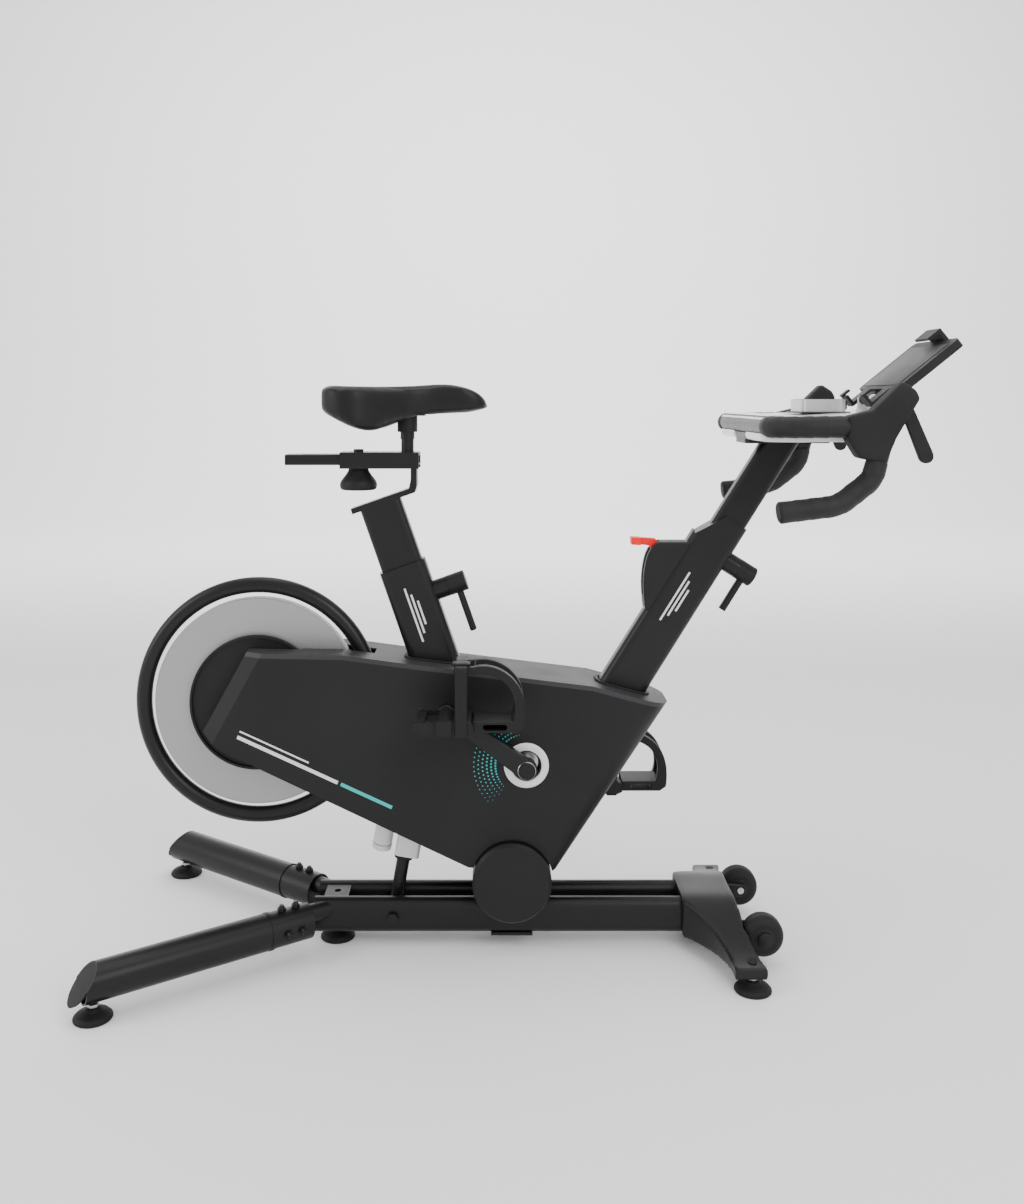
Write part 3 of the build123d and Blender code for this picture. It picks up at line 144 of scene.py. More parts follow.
def softCopy(node, voxel, smoothing):
    # a copy of a CAD node with all its edges rounded
    piece = bpy.data.objects.new(node + "_soft", frame["nodes"][node].data.copy())
    bpy.context.scene.collection.objects.link(piece)
    weld = piece.modifiers.new("weld", "WELD")
    weld.merge_threshold = 0.00002
    remesh = piece.modifiers.new("remesh", "REMESH")
    remesh.mode = "VOXEL"
    remesh.voxel_size = voxel
    smooth = piece.modifiers.new("smooth", "SMOOTH")
    smooth.factor = 0.5
    smooth.iterations = smoothing
    applyAll(piece)
    return piece


# ---- finishes

def newFinish(name, colour, roughness, metallic=0.0, specular=0.5):
    material = bpy.data.materials.new(name)
    material.use_nodes = True
    shader = material.node_tree.nodes["Principled BSDF"]
    shader.inputs["Base Color"].default_value = (*colour, 1)
    shader.inputs["Roughness"].default_value = roughness
    shader.inputs["Metallic"].default_value = metallic
    shader.inputs["Specular IOR Level"].default_value = specular
    return material


def addGrain(material, scale, depth, roughLow, roughHigh, detail=6.0):
    # fine surface texture and uneven gloss
    nodes = material.node_tree.nodes
    links = material.node_tree.links
    shader = nodes["Principled BSDF"]
    place = nodes.new("ShaderNodeTexCoord")
    noise = nodes.new("ShaderNodeTexNoise")
    noise.inputs["Scale"].default_value = scale
    noise.inputs["Detail"].default_value = detail
    bump = nodes.new("ShaderNodeBump")
    bump.inputs["Strength"].default_value = 0.6
    bump.inputs["Distance"].default_value = depth
    patches = nodes.new("ShaderNodeTexNoise")
    patches.inputs["Scale"].default_value = 9.0
    patches.inputs["Detail"].default_value = 4.0
    gloss = nodes.new("ShaderNodeMapRange")
    gloss.inputs["From Min"].default_value = 0.3
    gloss.inputs["From Max"].default_value = 0.7
    gloss.inputs["To Min"].default_value = roughLow
    gloss.inputs["To Max"].default_value = roughHigh
    links.new(place.outputs["Object"], noise.inputs["Vector"])
    links.new(place.outputs["Object"], patches.inputs["Vector"])
    links.new(noise.outputs["Fac"], bump.inputs["Height"])
    links.new(patches.outputs["Fac"], gloss.inputs["Value"])
    links.new(gloss.outputs["Result"], shader.inputs["Roughness"])
    links.new(bump.outputs["Normal"], shader.inputs["Normal"])
    return bump


def addTint(material, dark, light, scale):
    # slight change of colour over the surface
    nodes = material.node_tree.nodes
    links = material.node_tree.links
    place = nodes.new("ShaderNodeTexCoord")
    cloud = nodes.new("ShaderNodeTexNoise")
    cloud.inputs["Scale"].default_value = scale
    cloud.inputs["Detail"].default_value = 3.0
    ramp = nodes.new("ShaderNodeValToRGB")
    ramp.color_ramp.elements[0].position = 0.35
    ramp.color_ramp.elements[0].color = (*dark, 1)
    ramp.color_ramp.elements[1].position = 0.65
    ramp.color_ramp.elements[1].color = (*light, 1)
    links.new(place.outputs["Object"], cloud.inputs["Vector"])
    links.new(cloud.outputs["Fac"], ramp.inputs["Fac"])
    links.new(ramp.outputs["Color"], nodes["Principled BSDF"].inputs["Base Color"])


def framePaint():
    material = newFinish("frame_black", (0.006, 0.006, 0.0065), 0.34, 0.0, 0.26)
    addGrain(material, 900.0, 0.00012, 0.28, 0.40)
    addTint(material, (0.005, 0.005, 0.0055), (0.0075, 0.0075, 0.008), 5.0)
    return material


def shroudPlastic():
    material = newFinish("shroud_black", (0.009, 0.009, 0.0095), 0.5, 0.0, 0.22)
    addGrain(material, 1400.0, 0.00018, 0.44, 0.56, 3.0)
    addTint(material, (0.008, 0.008, 0.0085), (0.0105, 0.0105, 0.011), 3.0)
    return material


def topPlastic():
    material = newFinish("shroud_grey", (0.032, 0.032, 0.034), 0.45, 0.0, 0.25)
    addGrain(material, 1400.0, 0.00018, 0.40, 0.52, 3.0)
    addTint(material, (0.028, 0.028, 0.030), (0.037, 0.037, 0.039), 4.0)
    return material


def turnedWheel():
    # lathe marks run round the wheel's axle
    material = newFinish("wheel_silver", (0.34, 0.34, 0.345), 0.45, 0.6, 0.4)
    nodes = material.node_tree.nodes
    links = material.node_tree.links
    shader = nodes["Principled BSDF"]
    hub = middle("flywheel")
    place = nodes.new("ShaderNodeTexCoord")
    centred = nodes.new("ShaderNodeMapping")
    centred.inputs["Location"].default_value = (-hub.x, 0, -hub.z)
    centred.inputs["Scale"].default_value = (1, 0, 1)
    radius = nodes.new("ShaderNodeVectorMath")
    radius.operation = "LENGTH"
    rings = nodes.new("ShaderNodeTexNoise")
    rings.noise_dimensions = "1D"
    rings.inputs["Scale"].default_value = 1800.0
    rings.inputs["Detail"].default_value = 4.0
    bump = nodes.new("ShaderNodeBump")
    bump.inputs["Strength"].default_value = 0.35
    bump.inputs["Distance"].default_value = 0.0001
    shade = nodes.new("ShaderNodeValToRGB")
    shade.color_ramp.elements[0].position = 0.3
    shade.color_ramp.elements[0].color = (0.30, 0.30, 0.305, 1)
    shade.color_ramp.elements[1].position = 0.7
    shade.color_ramp.elements[1].color = (0.36, 0.36, 0.365, 1)
    links.new(place.outputs["Object"], centred.inputs["Vector"])
    links.new(centred.outputs["Vector"], radius.inputs[0])
    links.new(radius.outputs["Value"], rings.inputs["W"])
    links.new(rings.outputs["Fac"], bump.inputs["Height"])
    links.new(rings.outputs["Fac"], shade.inputs["Fac"])
    links.new(shade.outputs["Color"], shader.inputs["Base Color"])
    links.new(bump.outputs["Normal"], shader.inputs["Normal"])
    return material


def castSilver():
    material = newFinish("cast_silver", (0.55, 0.55, 0.56), 0.4, 0.35, 0.5)
    addGrain(material, 420.0, 0.0002, 0.34, 0.5)
    addTint(material, (0.5, 0.5, 0.51), (0.6, 0.6, 0.61), 14.0)
    return material


def plainSteel():
    material = newFinish("steel", (0.5, 0.5, 0.51), 0.32, 1.0)
    addGrain(material, 700.0, 0.00008, 0.24, 0.4)
    addTint(material, (0.42, 0.42, 0.43), (0.56, 0.56, 0.57), 30.0)
    return material


def consoleWhite():
    material = newFinish("console_white", (0.74, 0.74, 0.75), 0.24, 0.0, 0.5)
    addGrain(material, 260.0, 0.00004, 0.18, 0.3)
    addTint(material, (0.71, 0.71, 0.72), (0.77, 0.77, 0.78), 6.0)
    material.node_tree.nodes["Principled BSDF"].inputs["Coat Weight"].default_value = 0.4
    return material


def displayGrey():
    material = newFinish("display_grey", (0.5, 0.5, 0.51), 0.28, 0.4, 0.5)
    addGrain(material, 500.0, 0.00005, 0.22, 0.34)
    addTint(material, (0.46, 0.46, 0.47), (0.54, 0.54, 0.55), 12.0)
    return material


def leverRed():
    material = newFinish("lever_red", (0.85, 0.002, 0.003), 0.35, 0.0, 0.3)
    addGrain(material, 500.0, 0.00006, 0.26, 0.36)
    addTint(material, (0.8, 0.001, 0.002), (0.9, 0.003, 0.004), 25.0)
    return material


def blackRubber():
    material = newFinish("rubber", (0.008, 0.008, 0.008), 0.6, 0.0, 0.25)
    addGrain(material, 800.0, 0.0003, 0.55, 0.72)
    addTint(material, (0.007, 0.007, 0.007), (0.011, 0.011, 0.0105), 18.0)
    return material


def saddleLeather():
    # pebbled synthetic leather: cells and a finer grain over them
    material = newFinish("saddle", (0.007, 0.007, 0.007), 0.4, 0.0, 0.22)
    bump = addGrain(material, 1500.0, 0.00008, 0.34, 0.48)
    nodes = material.node_tree.nodes
    links = material.node_tree.links
    place = nodes.new("ShaderNodeTexCoord")
    cells = nodes.new("ShaderNodeTexVoronoi")
    cells.feature = "DISTANCE_TO_EDGE"
    cells.inputs["Scale"].default_value = 520.0
    pebbles = nodes.new("ShaderNodeBump")
    pebbles.inputs["Strength"].default_value = 0.5
    pebbles.inputs["Distance"].default_value = 0.0003
    links.new(place.outputs["Object"], cells.inputs["Vector"])
    links.new(cells.outputs["Distance"], pebbles.inputs["Height"])
    links.new(pebbles.outputs["Normal"], bump.inputs["Normal"])
    addTint(material, (0.006, 0.006, 0.006), (0.009, 0.009, 0.009), 10.0)
    return material


def barTape():
    material = newFinish("bar_tape", (0.008, 0.008, 0.008), 0.5, 0.0, 0.3)
    addGrain(material, 1100.0, 0.0004, 0.48, 0.64)
    addTint(material, (0.007, 0.007, 0.007), (0.011, 0.011, 0.011), 20.0)
    return material


def printedWhite():
    material = newFinish("printed_white", (0.7, 0.7, 0.7), 0.5, 0.0, 0.3)
    addGrain(material, 900.0, 0.00003, 0.45, 0.55)
    return material


def printedTeal():
    material = newFinish("printed_teal", (0.03, 0.42, 0.42), 0.5, 0.0, 0.3)
    addGrain(material, 900.0, 0.00003, 0.45, 0.55)
    return material


finishes = {
    "frame_black": framePaint(),
    "shroud_black": shroudPlastic(),
    "shroud_grey": topPlastic(),
    "wheel_silver": turnedWheel(),
    "cast_silver": castSilver(),
    "steel": plainSteel(),
    "console_white": consoleWhite(),
    "display_grey": displayGrey(),
    "lever_red": leverRed(),
    "rubber": blackRubber(),
    "saddle": saddleLeather(),
    "tape": barTape(),
    "printWhite": printedWhite(),
    "printTeal": printedTeal(),
}

for subpart in frame["record"]["subparts"]:
    node = frame["nodes"][subpart["node"]]
    node.data.materials.clear()
    node.data.materials.append(finishes[subpart["material_slot"]])
print("finishes made")


# ---- saddle

saddle = {
    "voxel": 0.0045,
    "smoothing": 10,
    "pressure": 4.0,
    "frames": 20,
    "swell": 0.004,       # how far the skin may rise
    "lift": 0.005,        # how far the top is raised
    "seamDepth": 0.0011,
    "seamWidth": 0.0035,
    "seamReach": 0.006,
    "stitches": 84,
    "stitch": (0.0021, 0.0005, 0.0005),
}


def seamLine():
    # plan of the seam round the sitting area, a closed smooth curve inside the saddle's outline
    low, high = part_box("saddle_pad")
    nose = high[0]
    length = high[0] - low[0]
    half = (high[1] - low[1]) / 2
    shape = [
        (0.10, 0.10), (0.22, 0.16), (0.45, 0.24), (0.62, 0.52),
        (0.78, 0.80), (0.92, 0.66), (0.955, 0.0),
    ]
    points = [(nose - a * length, b * half) for a, b in shape]
    mirrored = [(x, -y) for x, y in reversed(points[:-1])]
    return points + mirrored


def smoothLoop(points, count):
    # evenly spaced points on a closed curve through the given ones
    curve = bpy.data.curves.new("seam", "CURVE")
    spline = curve.splines.new("NURBS")
    spline.points.add(len(points) - 1)
    for place, (x, y) in zip(spline.points, points):
        place.co = (x, y, 0, 1)
    spline.use_cyclic_u = True
    spline.order_u = 4
    spline.resolution_u = 16
    helper = bpy.data.objects.new("seam", curve)
    bpy.context.scene.collection.objects.link(helper)
    mesh = bpy.data.meshes.new_from_object(helper)
    path = [vertex.co.copy() for vertex in mesh.vertices]
    bpy.data.objects.remove(helper)
    lengths = [0.0]
    for a, b in zip(path, path[1:] + path[:1]):
        lengths.append(lengths[-1] + (b - a).length)
    result = []
    step = 0
    for i in range(count):
        goal = lengths[-1] * i / count
        while lengths[step + 1] < goal:
            step += 1
        part = (goal - lengths[step]) / max(lengths[step + 1] - lengths[step], 1e-9)
        result.append(path[step].lerp(path[(step + 1) % len(path)], part))
    return result


def inflate(piece, pressure, cap):
    start = [vertex.co.copy() for vertex in piece.data.vertices]
    cloth = piece.modifiers.new("cloth", "CLOTH")
    cloth.settings.use_pressure = True
    cloth.settings.uniform_pressure_force = pressure
    cloth.settings.effector_weights.gravity = 0
    cloth.settings.tension_stiffness = 25
    cloth.settings.compression_stiffness = 25
    cloth.point_cache.frame_start = 1
    cloth.point_cache.frame_end = saddle["frames"]
    scene = bpy.context.scene
    for step in range(1, saddle["frames"] + 1):
        scene.frame_set(step)
    applyAll(piece)
    scene.frame_set(1)
    for vertex, home in zip(piece.data.vertices, start):
        move = vertex.co - home
        if move.length > cap:
            vertex.co = home + move.normalized() * cap


def makeSaddle():
    pad = softCopy("saddle_pad", saddle["voxel"], saddle["smoothing"])
    inflate(pad, saddle["pressure"], saddle["swell"])
    relax = pad.modifiers.new("relax", "SMOOTH")
    relax.factor = 0.5
    relax.iterations = 4
    finer = pad.modifiers.new("finer", "SUBSURF")
    finer.levels = 1
    finer.render_levels = 1
    applyAll(pad)
    low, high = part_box("saddle_pad")
    bottom = low[2]
    height = high[2] - bottom
    for vertex in pad.data.vertices:
        vertex.co.z += saddle["lift"] * (0.3 + 0.7 * (vertex.co.z - bottom) / height)
    seam = smoothLoop(seamLine(), 400)
    top = middle("saddle_pad").z
    for vertex in pad.data.vertices:
        if vertex.co.z > top:
            gap = min(math.hypot(vertex.co.x - p.x, vertex.co.y - p.y) for p in seam[::4])
            if gap < saddle["seamReach"]:
                gap = min(math.hypot(vertex.co.x - p.x, vertex.co.y - p.y) for p in seam)
                vertex.co.z -= saddle["seamDepth"] * math.exp(-(gap / saddle["seamWidth"] * 1.6) ** 2)
    dress(pad, "saddle_cushion", "saddle", "seat_carriage", 60)
    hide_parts("saddle_pad")
    stitches = []
    places = smoothLoop(seamLine(), saddle["stitches"])
    for i, place in enumerate(places):
        following = places[(i + 1) % len(places)]
        hit, spot, normal, face = pad.ray_cast(Vector((place.x, place.y, top + 0.2)), Vector((0, 0, -1)))
        if not hit:
            continue
        clearSelection()
        bpy.ops.mesh.primitive_uv_sphere_add(segments=8, ring_count=5, radius=1,
                                             location=spot + normal * 0.0002)
        stitch = bpy.context.object
        stitch.scale = saddle["stitch"]
        direction = (following - place).normalized()
        stitch.rotation_mode = "QUATERNION"
        along = (direction - normal * direction.dot(normal)).normalized()
        stitch.rotation_quaternion = along.to_track_quat("X", "Z")
        applyAll(stitch)
        stitches.append(stitch)
    dress(joined(stitches), "saddle_stitches", "thread", "seat_carriage", 60)
    print("saddle made")


finishes["thread"] = newFinish("thread_grey", (0.05, 0.05, 0.05), 0.6, 0.0, 0.4)
addGrain(finishes["thread"], 2000.0, 0.0001, 0.55, 0.65)
makeSaddle()


# ---- handlebar: tape, end plugs, hoods

bar = {
    "radius": 0.0165,
    "tape": 0.0011,       # thickness of the tape
    "lap": 0.024,         # distance from one lap of tape to the next
    "bends": [0.052, 0.034, 0.044, 0.060],
    "step": 0.003,        # distance between points on the route
    "topsFrom": 0.165,    # the cross bar is taped from this Y outward
}


def barRoute(side):
    # the bar's corners, from the cross bar out, forward, down and back
    low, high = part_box("handlebar")
    y = side * (high[1] - bar["radius"])
    top = high[2] - bar["radius"] - 0.002
    return [
        Vector((0.382, 0, top)), Vector((0.382, y, top)), Vector((0.556, y, top + 0.002)),
        Vector((0.532, y, 0.838)), Vector((0.478, y, 0.796)), Vector((0.386, y, 0.785)),
    ]


def roundedRoute(corners, bends, step):
    # points along straight runs and tangent arcs
    points = [corners[0]]
    for before, corner, after, bend in zip(corners, corners[1:], corners[2:], bends):
        back = (before - corner).normalized()
        ahead = (after - corner).normalized()
        half = back.angle(ahead) / 2
        reach = bend / math.tan(half)
        centre = corner + (back + ahead).normalized() * bend / math.sin(half)
        first = corner + back * reach
        turn = math.pi - 2 * half
        spoke = first - centre
        axis = spoke.cross(back * -1).normalized()
        pieces = max(3, round(bend * turn / step))
        for i in range(pieces + 1):
            angle = turn * i / pieces
            points.append(centre + spoke * math.cos(angle) + axis.cross(spoke) * math.sin(angle))
    points.append(corners[-1])
    even = [points[0]]
    for target in points[1:]:
        run = target - even[-1]
        count = int(run.length / step)
        for i in range(1, count + 1):
            even.append(even[-1] + run.normalized() * step)
    return even


def wrappedTape(route, name, body):
    # each lap of the tape starts thin and ends over the next one
    curve = bpy.data.curves.new(name, "CURVE")
    curve.dimensions = "3D"
    curve.bevel_depth = 1.0
    curve.bevel_resolution = 8
    curve.use_fill_caps = True
    spline = curve.splines.new("POLY")
    spline.points.add(len(route) - 1)
    travelled = 0.0
    for i, point in enumerate(route):
        if i:
            travelled += (point - route[i - 1]).length
        share = (travelled % bar["lap"]) / bar["lap"]
        spline.points[i].co = (*point, 1)
        spline.points[i].radius = bar["radius"] + bar["tape"] * (0.75 + 0.75 * share)
    holder = bpy.data.objects.new(name, curve)
    bpy.context.scene.collection.objects.link(holder)
    makeActive(holder)
    bpy.ops.object.convert(target="MESH")
    return dress(bpy.context.object, name, "tape", body, 25)


def makeBarTape():
    for name, side in (("left", 1), ("right", -1)):
        route = roundedRoute(barRoute(side), bar["bends"], bar["step"])
        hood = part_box("lever_hoods")[0]
        outer = [p for p in route if abs(p.y) > bar["topsFrom"]]
        tops = [p for p in outer if p.z > hood[2] + 0.02 and p.x < hood[0] + 0.006]
        drops = [p for p in route if p.z < hood[2] + 0.004]
        wrappedTape(tops, "tape_top_" + name, "bar_post")
        wrappedTape(drops, "tape_drop_" + name, "bar_post")
        end = route[-1]
        r = bar["radius"] + 0.0012
        plug = turned([(0.0001, 0), (r, 0), (r, 0.0025), (r - 0.003, 0.005), (0.0001, 0.0058)],
                      end, (end - route[-3]).normalized())
        dress(plug, "bar_plug_" + name, "rubber", "bar_post")
    print("bar tape made")


makeBarTape()

hoods = dress(softCopy("lever_hoods", 0.0028, 12), "hood_rubbers", "rubber", "bar_post", 60)
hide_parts("lever_hoods")


# ---- console

console = {"voxel": 0.003, "smoothing": 6, "cap": 0.014, "rim": 0.003}

consoleShell = dress(softCopy("console", console["voxel"], console["smoothing"]),
                     "console_shell", "console_white", "bar_post", 50)
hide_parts("console")


def makeDisplay():
    low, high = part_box("display")
    size = Vector(high) - Vector(low)
    centre = middle("display")
    rim = console["rim"]
    glass = block((centre.x, 0, high[2] - 0.0002), (size.x - 0.014, size.y - 0.014, 0.0016), 0.0007)
    dress(glass, "display_glass", "shroud_black", "bar_post")
    end = block((high[0] - 0.004, 0, centre.z + 0.002),
                (console["cap"], size.y - 0.02, size.z - 0.008), 0.003)
    dress(end, "display_end", "shroud_black", "bar_post")
    foot = block((centre.x, 0, low[2] + rim / 2), (size.x + 0.008, size.y + 0.008, rim), 0.001)
    dress(foot, "display_gasket", "shroud_grey", "bar_post")
    print("console made")


makeDisplay()


# ---- tablet holder

tablet = {
    "tilt": 38.8,
    "foot": (0.614, 0, 0.985),   # lower end of the holder's face
    "reach": 0.066,              # from there to the pad's middle
    "lift": 0.0004,
    "pad": (0.112, 0.176, 0.0014),
}


def makeTabletPad():
    lean = math.radians(tablet["tilt"])
    up = Vector((math.cos(lean), 0, math.sin(lean)))
    out = Vector((-math.sin(lean), 0, math.cos(lean)))
    centre = Vector(tablet["foot"]) + up * tablet["reach"] + out * tablet["lift"]
    sheet = block(centre, tablet["pad"], 0.0006, -tablet["tilt"])
    dress(sheet, "tablet_pad", "shroud_grey", "tablet_holder")
    print("tablet pad made")


makeTabletPad()


# ---- drive: crank rings, caps, pedals

crank = {
    "ringOuter": 0.039,
    "ringInner": 0.0262,
    "ringThick": 0.0042,
    "capRadius": 0.0145,
    "armFace": 0.1,       # distance of the arms' outer faces from the middle
}


def makeCrankTrim():
    centre = middle("crank_axle")
    for name, side in (("left", 1), ("right", -1)):
        face = outerFace("shroud_" + name, side)
        outer = crank["ringOuter"]
        inner = crank["ringInner"]
        thick = crank["ringThick"]
        ring = turned([(inner, -0.001), (inner, thick - 0.001), (inner + 0.001, thick),
                       (outer - 0.003, thick), (outer, thick - 0.0025), (outer, -0.001)],
                      (centre.x, face, centre.z), (0, side, 0), 96)
        dress(ring, "crank_ring_" + name, "console_white", "bike")
        armFace = side * crank["armFace"]
        r = crank["capRadius"]
        cap = turned([(0.0001, -0.002), (r, -0.002), (r, 0.0008), (r - 0.002, 0.0024),
                      (r - 0.006, 0.0027), (0.0001, 0.0018)],
                     (centre.x, armFace, centre.z), (0, side, 0))
        dress(cap, "crank_cap_" + name, "shroud_black", "crank")
        bead = turned([(r + 0.0012, -0.001), (r + 0.0012, 0.0006), (r + 0.0005, 0.0012),
                       (r, 0.0006), (r, -0.001)],
                      (centre.x, armFace, centre.z), (0, side, 0))
        dress(bead, "crank_bead_" + name, "steel", "crank")
    print("crank trim made")


makeCrankTrim()


pedal = {
    "teeth": 7,
    "toothPitch": 0.013,
    "firstTooth": -0.040,      # X of the first tooth from the spindle
    "toothHeight": 0.0095,
    "farRow": 0.0105,          # rows of teeth from the two ends of the body
    "nearRow": 0.004,
    "buckle": (0.030, 0.022, 0.004),
    "tongue": (0.018, 0.036, 0.0022),
}


def makePedalTrim():
    for name, side in (("left", 1), ("right", -1)):
        low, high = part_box("pedal_" + name)
        spindle = jointPoint("pedal_" + name + "_spin")
        body = "pedal_" + name
        teeth = []
        lowGap = pedal["nearRow"] if side > 0 else pedal["farRow"]
        highGap = pedal["farRow"] if side > 0 else pedal["nearRow"]
        for y in (low[1] + lowGap, high[1] - highGap):
            for i in range(pedal["teeth"]):
                x = spindle.x + pedal["firstTooth"] + i * pedal["toothPitch"]
                tooth = block((x, y, spindle.z + pedal["toothHeight"]), (0.005, 0.005, 0.004), 0.0012)
                teeth.append(tooth)
        dress(joined(teeth), "pedal_teeth_" + name, "shroud_black", body)
        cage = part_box("toe_cage_" + name)
        middleY = (cage[0][1] + cage[1][1]) / 2
        top = cage[1][2]
        strapX = spindle.x + 0.028
        buckle = block((strapX, middleY + side * 0.016, top + 0.0005), pedal["buckle"], 0.0014)
        tongue = block((strapX, middleY - side * 0.012, top - 0.0006), pedal["tongue"], 0.0008)
        dress(joined([buckle, tongue]), "strap_buckle_" + name, "shroud_black", body)
    print("pedal trim made")


makePedalTrim()


# ---- top cover: collars round the tubes

collars = {
    "seat": {"centre": (-0.179, 0.5004), "slope": 6.9, "length": 0.0948, "width": 0.048, "corner": 0.016},
    "head": {"centre": (0.1555, 0.4518), "slope": 14.8, "length": 0.0848, "width": 0.046, "corner": 0.016},
}


def makeCollar(name):
    values = collars[name]
    clearSelection()
    bpy.ops.mesh.primitive_plane_add(size=1)
    collar = bpy.context.object
    border = 0.007
    collar.scale = (values["length"] + 2 * border + 0.002, values["width"] + 2 * border + 0.002, 1)
    bpy.ops.object.transform_apply(scale=True)
    bpy.ops.object.mode_set(mode="EDIT")
    bpy.ops.mesh.select_all(action="SELECT")
    bpy.ops.mesh.bevel(offset=values["corner"] + border, segments=10, affect="VERTICES")
    bpy.ops.mesh.select_all(action="SELECT")
    bpy.ops.mesh.inset(thickness=border)
    bpy.ops.mesh.delete(type="FACE")
    bpy.ops.mesh.select_all(action="SELECT")
    bpy.ops.mesh.normals_make_consistent(inside=False)
    bpy.ops.object.mode_set(mode="OBJECT")
    wall = collar.modifiers.new("wall", "SOLIDIFY")
    wall.thickness = 0.005
    wall.offset = 0
    rounding = collar.modifiers.new("edge", "BEVEL")
    rounding.width = 0.0014
    rounding.segments = 3
    collar.rotation_euler = (0, math.radians(values["slope"]), 0)
    collar.location = (values["centre"][0], 0, values["centre"][1] + 0.001)
    dress(collar, name + "_tube_collar", "shroud_black", "bike")


for collarName in collars:
    makeCollar(collarName)
print("collars made")


# ---- printed marks: plain stripes and an arc of dots

marks = {
    "thick": 0.0004,
    "stripeStart": (-0.520, 0.379),
    "stripeSlope": 24.5,
    "stripeHeight": 0.0062,
    "whiteLength": 0.192,
    "tealLength": 0.098,
    "gap": 0.006,
    "thinLength": 0.132,
    "thinHeight": 0.0028,
    "bars": (0.100, 0.072, 0.044),
    "barWidth": 0.0035,
    "barPitch": 0.0075,
    "dotRows": 6,
    "dotSteps": 30,
    "dotRadius": 0.0021,
    "smallestDot": 0.0005,
}


def stripe(start, length, height, y, lean):
    # a flat bar that starts at a point and runs down to the front
    a = math.radians(lean)
    centre = (start[0] + math.cos(a) * length / 2, y, start[1] - math.sin(a) * length / 2)
    return block(centre, (length, marks["thick"], height), 0.0001, lean, 1)


def makeStripes():
    start = marks["stripeStart"]
    slope = marks["stripeSlope"]
    a = math.radians(slope)
    for name, side in (("left", 1), ("right", -1)):
        y = outerFace("shroud_" + name, side)
        above = (start[0] + 0.0042, start[1] + 0.0098)
        white = [
            stripe(start, marks["whiteLength"], marks["stripeHeight"], y, slope),
            stripe(above, marks["thinLength"], marks["thinHeight"], y, slope),
        ]
        dress(joined(white), "side_stripe_" + name, "printWhite", "bike")
        along = marks["whiteLength"] + marks["gap"]
        second = (start[0] + math.cos(a) * along, start[1] - math.sin(a) * along)
        teal = stripe(second, marks["tealLength"], marks["stripeHeight"], y, slope)
        dress(teal, "teal_stripe_" + name, "printTeal", "bike")


tubeMarks = {
    # clamp joint, height joint, distance up the tube from the clamp, first bar behind it, the side's Y
    "seat": ("seat_clamp", "seat_height", -0.026, -0.044, 0.024),
    "head": ("bar_clamp", "bar_height", -0.101, -0.043, 0.023),
}


def makeTubeMarks():
    # short bars up the sides of both tubes
    for tube, (clamp, slide, along, first, faceY) in tubeMarks.items():
        up = jointAxis(slide)
        ahead = jointAxis(clamp)
        lean = math.degrees(math.atan2(up.x, up.z))
        for name, side in (("left", 1), ("right", -1)):
            bars = []
            for i, length in enumerate(marks["bars"]):
                spot = jointPoint(clamp) + ahead * (first + i * marks["barPitch"]) + up * along
                size = (marks["barWidth"], marks["thick"], length)
                bars.append(block((spot.x, side * faceY, spot.z), size, 0.0001, lean, 1))
            dress(joined(bars), f"{tube}_tube_marks_{name}", "printWhite", "bike")


def makeDots():
    centre = middle("crank_axle")
    for name, side in (("left", 1), ("right", -1)):
        y = outerFace("shroud_" + name, side)
        dots = []
        for row in range(marks["dotRows"]):
            radius = 0.054 + row * 0.0075
            for i in range(marks["dotSteps"]):
                share = i / (marks["dotSteps"] - 1)
                angle = math.radians(88 + 150 * share + row * 2.2)
                fade = math.sin(math.pi * share) * (1 - 0.09 * row)
                size = marks["dotRadius"] * fade
                if size < marks["smallestDot"]:
                    continue
                spot = (centre.x + math.cos(angle) * radius, y, centre.z + math.sin(angle) * radius)
                clearSelection()
                bpy.ops.mesh.primitive_cylinder_add(vertices=10, radius=size, depth=marks["thick"],
                                                    location=spot, rotation=(math.pi / 2, 0, 0))
                dots.append(bpy.context.object)
        dress(joined(dots), "dot_arc_" + name, "printTeal", "bike")


makeStripes()
makeTubeMarks()
makeDots()
print("marks made")


# ---- base: foot nuts, wheel hubs, motor bands

base = {
    "feet": ("foot_rear_left", "foot_rear_right", "foot_middle", "foot_front_left", "foot_front_right"),
    "nutRadius": 0.0095,
    "nutHeight": 0.005,
    "nutAt": 0.0215,      # the nut's middle above the floor
    "axleCapRadius": 0.0115,
}


def makeFootNuts():
    for name in base["feet"]:
        low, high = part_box(name)
        centre = middle(name)
        clearSelection()
        bpy.ops.mesh.primitive_cylinder_add(vertices=6, radius=base["nutRadius"], depth=base["nutHeight"],
                                            location=(centre.x, centre.y, low[2] + base["nutAt"]))
        nut = bpy.context.object
        rounding = nut.modifiers.new("edge", "BEVEL")
        rounding.width = 0.0007
        rounding.segments = 2
        dress(nut, name + "_nut", "steel", name, 30)
        r = (high[0] - low[0]) / 2
        pad = turned([(r - 0.003, 0.0002), (r - 0.0006, 0.0002), (r + 0.0006, 0.0018), (r + 0.0004, 0.0042),
                      (r - 0.0015, 0.0054), (r - 0.003, 0.0054)], (centre.x, centre.y, low[2]), (0, 0, 1))
        dress(pad, name + "_rim", "rubber", name)
    print("feet made")


